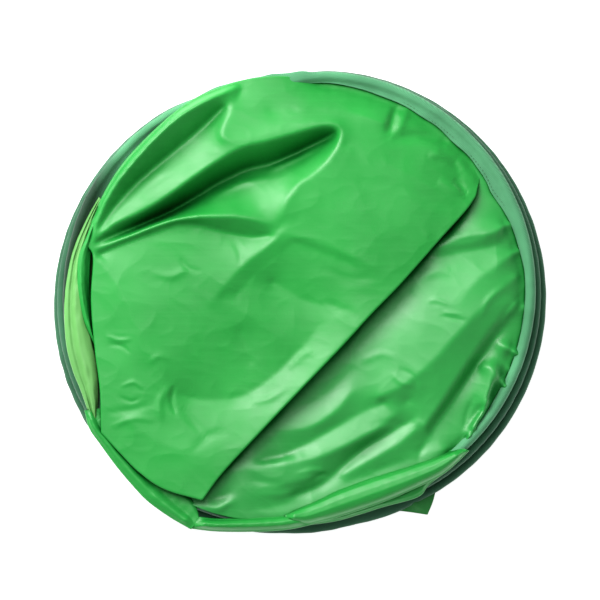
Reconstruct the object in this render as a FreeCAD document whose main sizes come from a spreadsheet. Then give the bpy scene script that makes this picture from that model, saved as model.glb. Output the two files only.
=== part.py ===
import FreeCAD, Part
import math
import os
import Sketcher
from FreeCAD import Placement, Rotation, Vector
from Sketcher import Constraint

# A pop-up tent folded flat for carrying. Its frame is one closed hoop of spring-steel rod, twisted
# into three turns that lie on each other as a disc, and each turn carries part of the fabric. The
# turns form a chain: the lower turn passes into the middle one at crossing B, and the middle one
# into the upper one at crossing A. At each crossing two ferrules join the rods, and the rod ends of
# the turn above can rotate in them, so the turns open like the leaves of a folded map.
#
# The disc lies on the XY plane, with the origin under its middle. Each turn has its own axes, which
# are the tent's turned by cross_bearing about Z: X runs along the two straight stretches of its
# rim, crossing A is in the middle of the one at -Y and crossing B in the middle of the one at +Y.

DIMENSIONS = {
    # spring-steel hoop and its ferrules
    "rod_diameter": 3.0,
    "ferrule_outer": 5.0,
    "ferrule_bore": 3.1,
    "ferrule_length": 24.0,
    "ferrule_reach": 38.0,
    "rod_gap": 2.0,
    # a strand leaves its ferrule, passes beside the other strand and drops to the turn below
    "strand_straight": 2.0,
    "strand_side": 2.2,
    "strand_drop": 3.0,
    "strand_slope": 0.22,
    # rim of the lower turn: half a straight stretch, a bend, a long arc
    "cross_bearing": 13.0,
    "flat_half": 48.0,
    "bend_turn": 20.0,
    "bend_radius": 140.0,
    "rim_radius": 224.0,
    # each turn above is smaller, nearer B and higher by
    "turn_inset": 5.0,
    "turn_shift": 4.0,
    "turn_pitch": 15.0,
    "lower_height": 6.5,
    # sleeve of binding tape round the rod, with a flat tail sewn to the fabric
    "sleeve_outer": 9.0,
    "sleeve_bore": 6.0,
    "sleeve_tail": 17.0,
    "tail_thick": 1.4,
    "sleeve_start": 31.0,
    # folded fabric: how far inside the rim it starts, and the heights of its layers
    "fabric_edge": 16.0,
    "sheet_edge": 2.0,
    "sheet_top": 1.5,
    "corner_top": 1.2,
    "floor_top": 11.0,
    "back_bottom": 15.4,
    "back_top": 24.4,
    "lining_bottom": 33.6,
    "lining_top": 35.4,
    "rear_top": 43.0,
    "cover_bottom": 43.2,
    "gather_top": 49.5,
    "front_top": 53.0,
    # door on the back panel, with its vent and its zip
    "door_half": 126.0,
    "door_edge": 40.0,
    "door_deep": 136.0,
    "door_top": 25.4,
    "vent_half": 65.0,
    "vent_near": -20.0,
    "vent_far": -80.0,
    "vent_top": 26.0,
    "zip_line": 26.0,
    "zip_half": 118.0,
    "tape_width": 13.0,
    "tape_part": 0.2,
    "tape_top": 26.2,
    "teeth_half": 112.0,
    "teeth_width": 4.0,
    "teeth_top": 27.8,
    "stop_width": 6.0,
    "stop_top": 28.4,
    # zip slider and its pull
    "slider_at": 102.0,
    "slider_bottom": 26.3,
    "slider_top": 29.4,
    "slider_half": 7.0,
    "channel_length": 21.0,
    "slider_width": 10.0,
    "channel_width": 4.6,
    "channel_top": 28.1,
    "lug_width": 3.0,
    "bore_length": 9.0,
    "lug_round": 2.6,
    "pin_level": 30.5,
    "lug_bore": 1.3,
    "pin_diameter": 1.2,
    "fork_width": 8.0,
    "fork_gap": 3.4,
    "fork_round": 1.9,
    "fork_reach": 4.0,
    "pull_end": 17.0,
    "pull_thick": 1.0,
    # loops of webbing for the pegs
    "loop_circle": 160.0,
    "loop_level": 13.2,
    "loop_width": 20.0,
    "loop_half": 17.0,
    "loop_thick": 2.6,
    "loop_slot": 0.8,
}

# Corners of the folded fabric's outlines, in the tent's own axes. "arc" marks a point that the
# edge bends through on its way from the corner before it to the corner after it.
OUTLINES = {
    "front": [(-204, 42), (-191, -124), (-156, -166), (-97, -195), (-40, -128), (80, -8),
              (140, 54), (174, 108), (-12, 205, "arc")],
    "side": [(-172, 148), (-238, 8, "arc"), (-207, -116), (-167, -184), (-112, -221), (-104, -204),
             (-160, -176), (-197, -126), (-209, -40, "arc"), (-208, 48)],
    "roll": [(-106, -222), (-40, -225), (22, -217), (100, -196), (186, -138), (164, -146),
             (100, -176), (48, -192), (-30, -210)],
    "corner": [(60, -190), (97, -210), (128, -213), (140, -186), (120, -160)],
}

LOWER, MIDDLE, UPPER = 0, 1, 2
OUTWARD = {LOWER: 1, MIDDLE: -1}  # side of the crossing above a turn: B at +Y, A at -Y
LEFT, RIGHT = -1, 1
PEG_LOOPS = 4
SPARE_CELL = "D1"

doc = FreeCAD.newDocument("pop_up_tent")
sheet = doc.addObject("Spreadsheet::Sheet", "dims")
pieces = []


# ---- dimensions ----

def fill_sheet():
    cells = dict(DIMENSIONS)
    for outline, corners in OUTLINES.items():
        for number, corner in enumerate(corners):
            cells[f"{outline}_x_{number}"], cells[f"{outline}_y_{number}"] = corner[:2]
    for row, (alias, value) in enumerate(cells.items(), start=1):
        sheet.set(f"A{row}", alias)
        sheet.set(f"B{row}", str(value))
        sheet.setAlias(f"B{row}", alias)
    doc.recompute()


def dim(alias):
    return float(getattr(sheet, alias))


def worth(expression):
    """What an expression of the sheet's cells comes to, worked out in a spare cell."""
    sheet.set(SPARE_CELL, "=" + expression.replace("dims.", ""))
    sheet.recompute()
    return float(sheet.get(SPARE_CELL))


def turn_height(turn):
    return dim("lower_height") + turn * dim("turn_pitch")


def turn_axes(turn, height=0.0):
    """Placement of a turn's own axes among the tent's."""
    bearing = Rotation(Vector(0, 0, 1), dim("cross_bearing"))
    middle = bearing.multVec(Vector(0, turn * dim("turn_shift"), 0))
    return Placement(middle + Vector(0, 0, height), bearing)


def inside(turn, edge=None):
    """How far a turn's rim, or an edge inside it, is inside the lower turn's: value, expression."""
    value, text = turn * dim("turn_inset"), f"{turn} * dims.turn_inset"
    return (value + dim(edge), f"{text} + dims.{edge}") if edge else (value, text)


def half_span(inset):
    """Distance of a rim's straight stretches from its middle."""
    turn = math.radians(dim("bend_turn"))
    bend = (dim("bend_radius") - inset) * (1 - math.cos(turn))
    return bend + (dim("rim_radius") - inset) * math.cos(turn)


def crossing(turn):
    """The crossing above a turn, in the turn's axes: Y of its axis, and of the turn's own rim."""
    outward = OUTWARD[turn]
    axis = outward * half_span(inside(turn + 1)[0]) + dim("turn_shift")
    return axis, outward * half_span(inside(turn)[0])


# ---- bodies, sketches and features ----

def new_body(label, placement=Placement()):
    body = doc.addObject("PartDesign::Body", label)
    body.Label = label
    body.Placement = placement
    pieces.append(body)
    return body


def new_sketch(body, name, role="XY_Plane", offset=Placement()):
    sketch = body.newObject("Sketcher::SketchObject", f"{body.Name}_{name}")
    plane = next(part for part in body.Origin.OriginFeatures if part.Role == role)
    sketch.AttachmentSupport = [(plane, "")]
    sketch.MapMode = "FlatFace"
    sketch.AttachmentOffset = offset
    return sketch


def hold(sketch, constraint, expression):
    """Add a constraint whose value is an expression of the sheet's cells."""
    index = sketch.addConstraint(constraint)
    sketch.setExpression(f"Constraints[{index}]", expression)


def add_feature(body, kind, name, sketch):
    feature = body.newObject(f"PartDesign::{kind}", f"{body.Name}_{name}")
    feature.Profile = sketch
    body.Tip = feature
    return feature


def raise_between(body, name, sketch, bottom, top, kind="Pad"):
    """Pad or pocket a sketch of the XY plane between two heights, each a cell or a number."""
    sketch.setExpression("AttachmentOffset.Base.z", bottom)
    feature = add_feature(body, kind, name, sketch)
    feature.setExpression("Length", f"({top}) - ({bottom})")
    if kind == "Pocket":
        feature.Reversed = True
    return feature


def widen(body, name, sketch, width, kind="Pad"):
    """Pad or pocket a sketch to both sides of its plane."""
    feature = add_feature(body, kind, name, sketch)
    feature.Midplane = True
    feature.setExpression("Length", width)
    return feature


def draw_box(sketch, near, far):
    """Rectangle between two opposite corners, each given as cell expressions and held to them."""
    low, high = [[worth(part) for part in corner] for corner in (near, far)]
    loop = [(low[0], low[1]), (high[0], low[1]), (high[0], high[1]), (low[0], high[1])]
    for start, end in zip(loop, loop[1:] + loop[:1]):
        sketch.addGeometry(Part.LineSegment(Vector(*start, 0), Vector(*end, 0)), False)
    for number in range(4):
        sketch.addConstraint(Constraint("Coincident", number, 2, (number + 1) % 4, 1))
        sketch.addConstraint(Constraint("Vertical" if number % 2 else "Horizontal", number))
    hold_point(sketch, 0, 1, near)
    hold_point(sketch, 2, 1, far)


def hold_point(sketch, curve, end, expressions):
    """Hold a curve's end at X and Y from the sketch's origin."""
    for way, expression in zip(("DistanceX", "DistanceY"), expressions):
        hold(sketch, Constraint(way, -1, 1, curve, end, worth(expression)), expression)


def draw_circle(sketch, centre, diameter):
    """Circle held to its centre and diameter, which are cell expressions."""
    place = Vector(worth(centre[0]), worth(centre[1]), 0)
    number = sketch.addGeometry(Part.Circle(place, Vector(0, 0, 1), worth(diameter) / 2), False)
    hold_point(sketch, number, 3, centre)
    hold(sketch, Constraint("Diameter", number, worth(diameter)), diameter)


def draw_outline(sketch, outline):
    """Closed outline through the corners that the sheet's cells hold."""
    cells = [(f"dims.{outline}_x_{number}", f"dims.{outline}_y_{number}")
             for number in range(len(OUTLINES[outline]))]
    points = [Vector(worth(across), worth(along), 0) for across, along in cells]
    corners = [number for number, corner in enumerate(OUTLINES[outline]) if corner[-1] != "arc"]
    for start, end in zip(corners, corners[1:] + corners[:1]):
        if (start + 1) % len(points) == end:
            sketch.addGeometry(Part.LineSegment(points[start], points[end]), False)
        else:
            curve = sketch.addGeometry(Part.Arc(points[start], points[start + 1], points[end]), False)
            sketch.addConstraint(Constraint("Radius", curve, sketch.Geometry[curve].Radius))
    for curve, corner in enumerate(corners):
        before = curve - 1 if curve else len(corners) - 1
        start, end = end_at(sketch, curve, points[corner]), end_at(sketch, before, points[corner])
        sketch.addConstraint(Constraint("Coincident", before, end, curve, start))
        hold_point(sketch, curve, start, cells[corner])


def end_at(sketch, curve, point):
    """Which end of a curve lies at a point: 1 for its first, 2 for its last."""
    return min((1, 2), key=lambda end: sketch.getPoint(curve, end).distanceToPoint(point))


# ---- rims ----

def rim_steps(parts, inset):
    """Steps along a rim: a number is a straight length, and "half" is the way round one side."""
    value, text = inset
    bend = ("arc", dim("bend_radius") - value, f"dims.bend_radius - ({text})",
            dim("bend_turn"), "dims.bend_turn * 1 deg")
    side = ("arc", dim("rim_radius") - value, f"dims.rim_radius - ({text})",
            180 - 2 * dim("bend_turn"), "(180 - 2 * dims.bend_turn) * 1 deg")
    steps = []
    for part in parts:
        steps += [bend, side, bend] if part == "half" else [("line", part)]
    return steps


def walk(steps, start, heading=0.0):
    """Line and arc curves of a path that turns left, from its start and first heading."""
    place = Vector(*start, 0)
    curves = []
    for step in steps:
        if step[0] == "line":
            end = place + Rotation(Vector(0, 0, 1), heading).multVec(Vector(step[1], 0, 0))
            curves.append(Part.LineSegment(place, end))
        else:
            radius, sweep = step[1], step[3]
            spoke = Rotation(Vector(0, 0, 1), heading).multVec(Vector(0, -radius, 0))
            centre = place - spoke
            middle = centre + Rotation(Vector(0, 0, 1), sweep / 2).multVec(spoke)
            end = centre + Rotation(Vector(0, 0, 1), sweep).multVec(spoke)
            curves.append(Part.Arc(place, middle, end))
            heading += sweep
        place = end
    return curves


def draw_rim(sketch, parts, inset, start, heading=0.0, closed=False):
    """Draw a rim's path, hold its start and its joints, and size its arcs from the sheet."""
    steps = rim_steps(parts, inset)
    last = len(steps) - 1
    for number, curve in enumerate(walk(steps, start, heading)):
        sketch.addGeometry(curve, False)
        if number:
            joint = "Coincident" if closed and number == last else "Tangent"
            sketch.addConstraint(Constraint(joint, number - 1, 2, number, 1))
    for number, step in enumerate(steps):
        if step[0] == "arc":
            hold(sketch, Constraint("Radius", number, step[1]), step[2])
            hold(sketch, Constraint("Angle", number, math.radians(step[3])), step[4])
        elif not (closed and number == last):
            sketch.addConstraint(Constraint("Distance", number, step[1]))
    sketch.addConstraint(Constraint("DistanceX", -1, 1, 0, 1, start[0]))
    sketch.addConstraint(Constraint("DistanceY", -1, 1, 0, 1, start[1]))
    first_line = next(number for number, step in enumerate(steps) if step[0] == "line")
    sketch.addConstraint(Constraint("Horizontal", first_line))
    if closed:
        sketch.addConstraint(Constraint("Coincident", last, 2, 0, 1))


def closed_rim(body, name, inset):
    """Closed outline that runs parallel to a rim."""
    sketch = new_sketch(body, name)
    flat = dim("flat_half")
    start = (0, -half_span(inset[0]))
    draw_rim(sketch, [flat, "half", 2 * flat, "half", flat], inset, start, closed=True)
    return sketch


def section_sketch(body, start):
    """Sketch across the start of a path that sets off along X."""
    return new_sketch(body, "section", "YZ_Plane", Placement(Vector(start[1], 0, start[0]), Rotation()))


def sweep(body, section, path):
    doc.recompute()
    feature = add_feature(body, "AdditivePipe", "sweep", section)
    feature.Spine = (path, [f"Edge{number + 1}" for number in range(len(path.Shape.Edges))])


# ---- hoop: rods and ferrules ----

def upper_rod():
    """A full turn that lies flat. Its ends rotate in the ferrules at crossing A."""
    body = new_body("upper_rod", turn_axes(UPPER, turn_height(UPPER)))
    inset = inside(UPPER)
    reach = dim("ferrule_reach") + dim("rod_gap") / 2
    start = (reach, -half_span(inset[0]))
    rest = dim("flat_half") - reach
    path = new_sketch(body, "path")
    draw_rim(path, [rest, "half", 2 * dim("flat_half"), "half", rest], inset, start)
    section = section_sketch(body, start)
    draw_circle(section, ("0", "0"), "dims.rod_diameter")
    sweep(body, section, path)


def bow(start, way, end):
    """Middle of the arc that leaves start along way and reaches end."""
    chord = end - start
    half_turn = way.getAngle(chord) / 2
    bisector = (way + chord / chord.Length).normalize()
    return start + bisector * (chord.Length / 2 / math.cos(half_turn))


def two_arcs(start, way, end, end_way):
    """Two tangent arcs that leave start along way and reach end along end_way."""
    gap = end - start
    along = gap.dot(way + end_way)
    bend = 2 * (1 - way.dot(end_way))
    if bend < 1e-9:
        reach = gap.dot(gap) / (2 * along)
    else:
        reach = (math.sqrt(along ** 2 + bend * gap.dot(gap)) - along) / bend
    joint = (start + way * reach + end - end_way * reach) / 2
    return [Part.Arc(start, bow(start, way, joint), joint),
            Part.Arc(joint, bow(end, end_way * -1, joint), end)]


def strand(turn, side):
    """Curves of a rod from the ferrule on one side of the crossing above a turn to the turn's own
    rim on the other side, in the turn's axes."""
    outward = OUTWARD[turn]
    axis, rim = crossing(turn)
    level = turn_height(turn + 1)
    held = dim("ferrule_reach") - dim("rod_gap") / 2
    freed = dim("ferrule_reach") - dim("ferrule_length") / 2 - dim("strand_straight")
    back = Vector(-side, 0, 0)
    slope = Vector(-side, 0, -dim("strand_slope")).normalize()
    end = Vector(side * held, axis, level)
    mouth = Vector(side * freed, axis, level)
    beside = Vector(0, axis + outward * side * dim("strand_side"), level - dim("strand_drop"))
    down = Vector(-side * dim("flat_half"), rim, turn_height(turn))
    curves = [Part.LineSegment(end, mouth)]
    curves += two_arcs(mouth, back, beside, slope)
    curves += two_arcs(beside, slope, down, back)
    return curves


def rim_curves(turn, parts, start, heading):
    """Curves along a turn's rim, at the turn's height and in its axes."""
    curves = walk(rim_steps(parts, inside(turn)), start, heading)
    for curve in curves:
        curve.translate(Vector(0, 0, turn_height(turn)))
    return curves


def bent_rod(label, turn, curves):
    """A rod that leaves its turn's plane: no sketch holds its path, so it is swept along a wire."""
    wire = Part.Wire(Part.__sortEdges__([curve.toShape() for curve in curves]))
    first = wire.OrderedEdges[0]
    foot = wire.OrderedVertexes[0].Point
    near_start = foot.distanceToPoint(first.valueAt(first.FirstParameter)) < 1e-6
    way = first.tangentAt(first.FirstParameter if near_start else first.LastParameter)
    section = Part.Wire(Part.makeCircle(dim("rod_diameter") / 2, foot, way))
    rod = doc.addObject("Part::Feature", label)
    rod.Label = label
    rod.Shape = wire.makePipeShell([section], True, False)
    rod.Placement = turn_axes(turn)
    pieces.append(rod)


def middle_rods():
    """Two half turns. At crossing B they lie flat on its axis, and at A they climb to its axis."""
    turn = MIDDLE
    rim = half_span(inside(turn)[0])
    flat = dim("flat_half")
    reach = dim("ferrule_reach") + dim("rod_gap") / 2
    right = strand(turn, LEFT) + rim_curves(turn, ["half", flat - reach], (flat, -rim), 0)
    left = strand(turn, RIGHT) + rim_curves(turn, [flat - reach, "half"], (-reach, rim), 180)
    bent_rod("middle_rod_right", turn, right)
    bent_rod("middle_rod_left", turn, left)


def lower_rod():
    """A full turn whose two ends climb to the axis of crossing B."""
    turn = LOWER
    rim = half_span(inside(turn)[0])
    flat = dim("flat_half")
    around = rim_curves(turn, ["half", 2 * flat, "half"], (-flat, rim), 180)
    bent_rod("lower_rod", turn, strand(turn, RIGHT) + around + strand(turn, LEFT))


def ferrules(turn):
    """The two ferrules at the crossing above a turn, fixed to the turn's own rod ends."""
    axis = crossing(turn)[0]
    owner = "lower" if turn == LOWER else "middle"
    for side, word in ((LEFT, "left"), (RIGHT, "right")):
        placement = turn_axes(turn, turn_height(turn + 1))
        middle = Vector(side * dim("ferrule_reach"), axis, 0)
        placement.Base = placement.Base + placement.Rotation.multVec(middle)
        body = new_body(f"{owner}_ferrule_{word}", placement)
        ring = new_sketch(body, "ring", "YZ_Plane")
        draw_circle(ring, ("0", "0"), "dims.ferrule_outer")
        draw_circle(ring, ("0", "0"), "dims.ferrule_bore")
        widen(body, "tube", ring, "dims.ferrule_length")


# ---- sleeves of binding tape ----

def draw_sleeve(sketch, inward):
    """Round sleeve with its bore, and a flat tail towards the inside of the turn."""
    radius, thick, tail = dim("sleeve_outer") / 2, dim("tail_thick") / 2, dim("sleeve_tail")
    root = math.sqrt(radius ** 2 - thick ** 2)
    corners = [Vector(inward * root, thick, 0), Vector(inward * root, -thick, 0),
               Vector(inward * tail, -thick, 0), Vector(inward * tail, thick, 0)]
    nose = sketch.addGeometry(Part.Arc(corners[0], Vector(-inward * radius, 0, 0), corners[1]), False)
    sides = [sketch.addGeometry(Part.LineSegment(start, end), False)
             for start, end in zip(corners[1:], corners[2:] + corners[:1])]
    curves = [nose] + sides
    for number, curve in enumerate(curves):
        before, corner = curves[number - 1], corners[number]
        ends = end_at(sketch, before, corner), end_at(sketch, curve, corner)
        sketch.addConstraint(Constraint("Coincident", before, ends[0], curve, ends[1]))
    sketch.addConstraint(Constraint("Coincident", nose, 3, -1, 1))
    hold(sketch, Constraint("Radius", nose, radius), "dims.sleeve_outer / 2")
    sign = "" if inward > 0 else "-"
    hold_point(sketch, sides[1], 1, (f"{sign}dims.sleeve_tail", "-dims.tail_thick / 2"))
    hold_point(sketch, sides[1], 2, (f"{sign}dims.sleeve_tail", "dims.tail_thick / 2"))
    sketch.addConstraint(Constraint("Horizontal", sides[0]))
    sketch.addConstraint(Constraint("Horizontal", sides[2]))
    draw_circle(sketch, ("0", "0"), "dims.sleeve_bore")


def sleeve(label, turn, parts, start, heading):
    """Sleeve along part of a turn's rim. It starts at -Y heading +X, or at +Y heading -X."""
    body = new_body(label, turn_axes(turn, turn_height(turn)))
    path = new_sketch(body, "path")
    draw_rim(path, parts, inside(turn), start, heading)
    section = section_sketch(body, start)
    draw_sleeve(section, 1 if heading == 0 else -1)
    sweep(body, section, path)


def sleeves():
    flat, gap = dim("flat_half"), dim("sleeve_start")
    spans = [half_span(inside(turn)[0]) for turn in (LOWER, MIDDLE, UPPER)]
    sleeve("lower_sleeve", LOWER, ["half", 2 * flat, "half"], (-flat, spans[LOWER]), 180)
    sleeve("middle_sleeve_right", MIDDLE, ["half", flat - gap], (flat, -spans[MIDDLE]), 0)
    sleeve("middle_sleeve_left", MIDDLE, [flat - gap, "half"], (-gap, spans[MIDDLE]), 180)
    around = [flat - gap, "half", 2 * flat, "half", flat - gap]
    sleeve("upper_sleeve", UPPER, around, (gap, -spans[UPPER]), 0)


# ---- folded fabric ----

def rim_layer(label, turn, bottom, top):
    """Fabric folded up inside a turn, as one layer with the shape of the turn's rim."""
    body = new_body(label, turn_axes(turn))
    raise_between(body, "layer", closed_rim(body, "outline", inside(turn, "fabric_edge")), bottom, top)
    return body


def groundsheet():
    """The tub floor: a sheet under the lower turn, the rest of it folded up inside, and the corner
    that sticks out under the rims."""
    body = new_body("groundsheet", turn_axes(LOWER))
    raise_between(body, "sheet", closed_rim(body, "sheet_edge", inside(LOWER, "sheet_edge")),
                  "0", "dims.sheet_top")
    folded = closed_rim(body, "folded_edge", inside(LOWER, "fabric_edge"))
    raise_between(body, "folded", folded, "dims.sheet_top", "dims.floor_top")
    unturned = Placement(Vector(), Rotation(Vector(0, 0, 1), -dim("cross_bearing")))
    corner = new_sketch(body, "corner_edge", offset=unturned)
    draw_outline(corner, "corner")
    raise_between(body, "corner", corner, "0", "dims.corner_top")


def cover_piece(label, outline, top):
    """Part of the canopy that lies on the upper turn, cut to an outline."""
    body = new_body(label)
    edge = new_sketch(body, "edge")
    draw_outline(edge, outline)
    raise_between(body, "cover", edge, "dims.cover_bottom", top)


def peg_loops():
    """Flattened loops of webbing between the floor and the back panel, evenly round it."""
    for number in range(PEG_LOOPS):
        spoke = Rotation(Vector(0, 0, 1), dim("cross_bearing") + 360 * (number + 0.5) / PEG_LOOPS)
        place = spoke.multVec(Vector(dim("loop_circle"), 0, 0)) + Vector(0, 0, dim("loop_level"))
        body = new_body(f"peg_loop_{number + 1}", Placement(place, spoke))
        band = new_sketch(body, "band", "XZ_Plane")
        draw_slot(band, "dims.loop_half", "dims.loop_thick / 2")
        draw_slot(band, "dims.loop_half - dims.loop_thick / 2", "dims.loop_slot / 2")
        widen(body, "loop", band, "dims.loop_width")


def draw_slot(sketch, half_length, radius):
    """Slot round the sketch's origin: two straight sides between round ends."""
    size = worth(radius)
    reach = worth(half_length) - size
    first = sketch.addGeometry(Part.LineSegment(Vector(-reach, -size, 0), Vector(reach, -size, 0)), False)
    sketch.addGeometry(Part.Arc(Vector(reach, -size, 0), Vector(reach + size, 0, 0),
                                Vector(reach, size, 0)), False)
    sketch.addGeometry(Part.LineSegment(Vector(reach, size, 0), Vector(-reach, size, 0)), False)
    sketch.addGeometry(Part.Arc(Vector(-reach, size, 0), Vector(-reach - size, 0, 0),
                                Vector(-reach, -size, 0)), False)
    for number in range(4):
        ends = (first + number, 2, first + (number + 1) % 4, 1)
        sketch.addConstraint(Constraint("Tangent", *ends))
    hold_point(sketch, first + 1, 3, (f"{half_length} - {radius}", "0"))
    hold_point(sketch, first + 3, 3, (f"-({half_length} - {radius})", "0"))
    hold(sketch, Constraint("Radius", first + 1, size), radius)


# ---- door, vent and zip ----

def door():
    """Door panel on the folded back panel: a straight edge and a round one."""
    body = new_body("door_panel", turn_axes(MIDDLE))
    edge = new_sketch(body, "edge")
    half, straight, deep = dim("door_half"), dim("door_edge"), -dim("door_deep")
    ends = Vector(-half, straight, 0), Vector(half, straight, 0)
    edge.addGeometry(Part.LineSegment(*ends), False)
    edge.addGeometry(Part.Arc(ends[0], Vector(0, deep, 0), ends[1]), False)
    for curve_end, sign in ((1, "-"), (2, "")):
        hold_point(edge, 0, curve_end, (f"{sign}dims.door_half", "dims.door_edge"))
        edge.addConstraint(Constraint("Coincident", 1, curve_end, 0, curve_end))
    edge.addConstraint(Constraint("Radius", 1, edge.Geometry[1].Radius))
    raise_between(body, "panel", edge, "dims.back_top", "dims.door_top")


def strip(label, near, far, bottom, top):
    """Flat piece on the middle turn: a rectangle between two corners and two heights."""
    body = new_body(label, turn_axes(MIDDLE))
    edge = new_sketch(body, "edge")
    draw_box(edge, near, far)
    raise_between(body, "plate", edge, bottom, top)


def zip_track():
    line, part = "dims.zip_line", "dims.tape_part"
    strip("zip_tape_outer", ("-dims.zip_half", f"{line} + {part}"),
          ("dims.zip_half", f"{line} + dims.tape_width"), "dims.door_top", "dims.tape_top")
    strip("zip_tape_inner", ("-dims.zip_half", f"{line} - dims.tape_width"),
          ("dims.zip_half", f"{line} - {part}"), "dims.door_top", "dims.tape_top")
    strip("zip_teeth", ("-dims.teeth_half", f"{line} - dims.teeth_width / 2"),
          ("dims.teeth_half", f"{line} + dims.teeth_width / 2"), "dims.tape_top", "dims.teeth_top")
    for word, ends in (("left", ("-dims.zip_half", "-dims.teeth_half")),
                       ("right", ("dims.teeth_half", "dims.zip_half"))):
        strip(f"zip_stop_{word}", (ends[0], f"{line} - dims.stop_width / 2"),
              (ends[1], f"{line} + dims.stop_width / 2"), "dims.tape_top", "dims.stop_top")
    strip("vent_mesh", ("-dims.vent_half", "dims.vent_far"), ("dims.vent_half", "dims.vent_near"),
          "dims.door_top", "dims.vent_top")


def slider_axes():
    placement = turn_axes(MIDDLE)
    middle = Vector(dim("slider_at"), dim("zip_line"), 0)
    placement.Base = placement.Base + placement.Rotation.multVec(middle)
    return placement


def zip_slider():
    """Block over the teeth, with a channel along them and a lug for the pull's pin."""
    body = new_body("zip_slider", slider_axes())
    block = new_sketch(body, "block_edge")
    draw_box(block, ("-dims.slider_half", "-dims.slider_width / 2"),
             ("dims.slider_half", "dims.slider_width / 2"))
    raise_between(body, "block", block, "dims.slider_bottom", "dims.slider_top")
    channel = new_sketch(body, "channel_edge", "YZ_Plane")
    draw_box(channel, ("-dims.channel_width / 2", "dims.slider_bottom"),
             ("dims.channel_width / 2", "dims.channel_top"))
    widen(body, "channel", channel, "dims.channel_length", "Pocket")
    lug = new_sketch(body, "lug_edge", "XZ_Plane")
    draw_box(lug, ("-dims.lug_round / 2", "dims.channel_top"),
             ("dims.lug_round / 2", "dims.pin_level + dims.lug_round / 2"))
    widen(body, "lug", lug, "dims.lug_width")
    bore = new_sketch(body, "bore_edge", "XZ_Plane")
    draw_circle(bore, ("0", "dims.pin_level"), "dims.lug_bore")
    widen(body, "bore", bore, "dims.bore_length", "Pocket")


def zip_pull():
    """Flat pull with a fork round the slider's lug and a pin through it."""
    body = new_body("zip_pull", slider_axes())
    plate = new_sketch(body, "plate_edge", "XZ_Plane")
    draw_box(plate, ("-dims.pull_end", "dims.pin_level - dims.pull_thick / 2"),
             ("0", "dims.pin_level + dims.pull_thick / 2"))
    widen(body, "plate", plate, "dims.fork_width")
    ears = new_sketch(body, "ears_edge", "XZ_Plane")
    draw_circle(ears, ("0", "dims.pin_level"), "dims.fork_round")
    widen(body, "ears", ears, "dims.fork_width")
    gap = new_sketch(body, "gap_edge")
    draw_box(gap, ("-dims.fork_reach", "-dims.fork_gap / 2"), ("dims.fork_reach", "dims.fork_gap / 2"))
    raise_between(body, "gap", gap, "dims.pin_level - dims.fork_round",
                  "dims.pin_level + dims.fork_round", "Pocket")
    pin = new_sketch(body, "pin_edge", "XZ_Plane")
    draw_circle(pin, ("0", "dims.pin_level"), "dims.pin_diameter")
    widen(body, "pin", pin, "dims.fork_width")


# ---- the whole tent ----

def build():
    fill_sheet()
    lower_rod()
    middle_rods()
    upper_rod()
    ferrules(LOWER)
    ferrules(MIDDLE)
    sleeves()
    groundsheet()
    peg_loops()
    rim_layer("back_panel", MIDDLE, "dims.back_bottom", "dims.back_top")
    door()
    zip_track()
    zip_slider()
    zip_pull()
    rim_layer("inner_lining", UPPER, "dims.lining_bottom", "dims.lining_top")
    rim_layer("canopy_rear", UPPER, "dims.lining_top", "dims.rear_top")
    cover_piece("canopy_front", "front", "dims.front_top")
    cover_piece("side_gather", "side", "dims.gather_top")
    cover_piece("bottom_roll", "roll", "dims.gather_top")
    sheet.clear(SPARE_CELL)
    doc.recompute()


def check():
    for item in doc.Objects:
        if {"Invalid", "Error"} & set(item.State):
            raise RuntimeError(f"{item.Label}: {item.State}")
    for piece in pieces:
        shape = piece.Shape
        if shape.isNull() or not shape.isValid() or shape.Volume <= 0:
            raise RuntimeError(f"{piece.Label} has no valid shape")
        print(f"{piece.Label}: {shape.Volume / 1000:.2f} cm3, {len(shape.Solids)} solid")


def export():
    os.makedirs("parts", exist_ok=True)
    for piece in pieces:
        piece.Shape.exportStep(f"parts/{piece.Label}.step")


build()
check()
export()
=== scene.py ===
import math

import bmesh
import bpy
import numpy as np
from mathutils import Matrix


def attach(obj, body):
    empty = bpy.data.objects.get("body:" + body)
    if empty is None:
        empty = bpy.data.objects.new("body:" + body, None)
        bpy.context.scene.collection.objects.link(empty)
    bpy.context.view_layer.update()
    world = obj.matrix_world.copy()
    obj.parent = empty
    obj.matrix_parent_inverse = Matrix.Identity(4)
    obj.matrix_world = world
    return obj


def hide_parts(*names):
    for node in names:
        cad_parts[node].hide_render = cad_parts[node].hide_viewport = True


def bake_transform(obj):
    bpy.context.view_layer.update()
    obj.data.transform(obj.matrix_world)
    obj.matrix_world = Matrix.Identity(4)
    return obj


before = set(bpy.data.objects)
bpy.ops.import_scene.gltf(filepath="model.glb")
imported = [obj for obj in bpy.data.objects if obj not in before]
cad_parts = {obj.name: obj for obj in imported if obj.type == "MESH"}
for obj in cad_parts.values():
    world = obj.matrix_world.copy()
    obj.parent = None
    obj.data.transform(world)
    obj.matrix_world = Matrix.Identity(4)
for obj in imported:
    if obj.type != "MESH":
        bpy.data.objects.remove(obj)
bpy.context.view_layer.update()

# A pop-up tent folded flat: three turns of a spring hoop in binding tape, and coated green fabric
# bunched over them. Lengths are in millimetres in this script and become metres in add_mesh().
MM = 0.001
TAU = 2 * math.pi

# The rims, as the frame has them: bends and arcs round two straight stretches, each turn above
# the lower one smaller, nearer crossing B and higher.
BEARING = math.radians(13)
FLAT_HALF = 48.0
BEND_TURN = math.radians(20)
BEND_RADIUS = 140.0
RIM_RADIUS = 224.0
INSET = 5.0
SHIFT = 4.0
PITCH = 15.0
LOWEST = 6.5
LOWER, MIDDLE, UPPER = 0, 1, 2
BODIES = "lower_turn", "middle_turn", "upper_turn"
RIM_STEP = 3.0
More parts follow.
